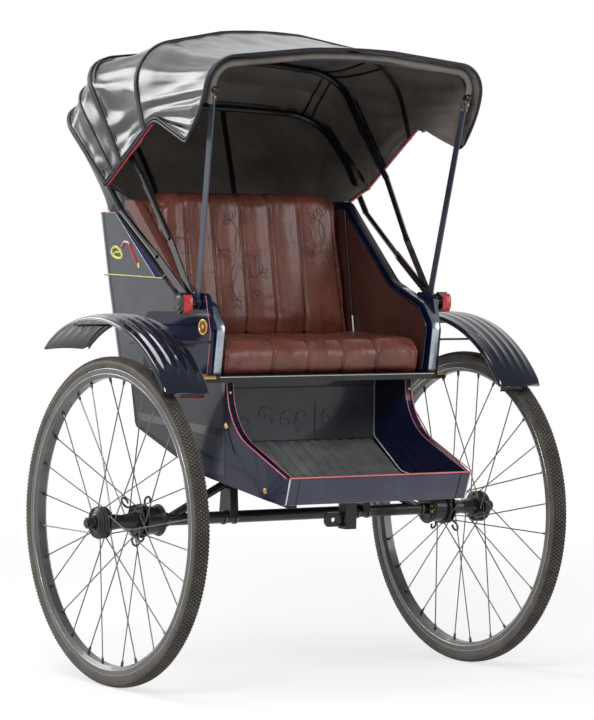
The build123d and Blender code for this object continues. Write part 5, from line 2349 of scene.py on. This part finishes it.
    def knobs(self) -> None:
        """Red faces and grey caps at the hood's pivots."""
        out = Vector(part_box("pivot_bolts")[1]).x
        flat = 0.032 * math.cos(math.radians(30)) + 0.0006
        y, z = PIVOT[0] + HITCH_AHEAD, PIVOT[1] - HITCH_HEIGHT
        rows = [(0.0055, 0.0262), (0.0, 0.0150), (0.0, -0.0150), (0.0075, -0.0300)]
        line = [Vector((out - 0.034 + 0.002, y - flat + back, z + rise)) for back, rise in rows]
        self.put(self.bench.band("knob_face", line, (0.030, 0.0, 0.0), 0.0016, 0.0004), "knob_face", RED)
        rows = [(-0.0002, 0.0225), (0.0004, 0.0225), (0.0012, 0.0205), (0.0012, 0.0), (-0.0002, 0.0)]
        self.put(self.bench.turned("knob_cap", rows, Vector((out, y, z)), (1, 0, 0), 36), "knob_cap", CAP)

    def chassis(self) -> None:
        """Bolts through the frame and collars on the axle."""
        bolts = []
        for number, (y, z) in enumerate(((-0.32, 0.5728), (-0.20, 0.5885), (0.20, 0.6730), (0.33, 0.7150))):
            place = site(0.2640, y, z)
            bolts.append(self.bench.hexagon(f"frame_bolt_{number}", place, (1, 0, 0), 0.0085, 0.0060, 0.2 * number))
        self.put(self.bench.joined("frame_bolts", bolts), "frame_bolts", DARK_STEEL)
        rows = [(-0.004, 0.0192), (-0.004, 0.0225), (0.004, 0.0225), (0.004, 0.0192)]
        collars = [
            self.bench.turned(f"collar_{number}", rows, site(x, 0.0, 0.5), (1, 0, 0), 28)
            for number, x in enumerate((0.230, 0.270, 0.480))
        ]
        self.put(self.bench.joined("axle_collars", collars), "axle_collars", DARK_STEEL)

    def build(self) -> None:
        """Every trim of the body."""
        self.arms()
        self.quarters()
        self.lowers()
        self.lip()
        self.footwell()
        self.board()
        self.knobs()
        self.chassis()


# ---------------------------------------------------------------- the carriage


NODE_FINISHES = {
    NAVY: (
        "lower_side_left", "lower_side_right", "floor_pan", "seat_box_shell",
        "upper_side_left", "upper_side_right", "arm_plate_left", "arm_plate_right", "rear_panel",
        "fender_left", "fender_right",
    ),
    GREY: ("quarter_panel_left", "quarter_panel_right", "footwell_back"),
    BLACK: (
        "hub_left", "hub_right", "axle", "axle_nuts", "chassis_frame", "axle_stays", "hitch_post",
        "hitch_plate", "seat_board", "fender_brackets", "pivot_bolts",
    ),
    LEG: ("mid_legs", "rear_legs"),
    PIPING: ("front_bow", "mid_bow", "rear_bow"),
    LILAC: ("front_lip",),
    STRUT: ("front_legs",),
    STEEL: ("spokes_left", "spokes_right"),
    RIM: ("rim_left", "rim_right"),
    TYRE: ("tyre_left", "tyre_right"),
    MAT: ("floor_mat",),
    SEAT: ("seat_cushion", "backrest"),
    PAD: ("side_pads",),
    HOOD: ("canopy_front", "canopy_rear", "rear_curtain"),
}


def main() -> None:
    """Load the frame, dress it and build every added piece."""
    logging.basicConfig(level=logging.INFO, format="%(name)s: %(message)s")
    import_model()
    paintbox = Paintbox()
    for finish, names in NODE_FINISHES.items():
        paintbox.nodes(names, finish)
    bench = Bench(paintbox)
    Wheel(bench).build()
    Fender(bench).build()
    Coachwork(bench).build()
    Upholstery(bench).build()
    Hood(bench).build()
    Studio().build()


if __name__ == "__main__":
    main()
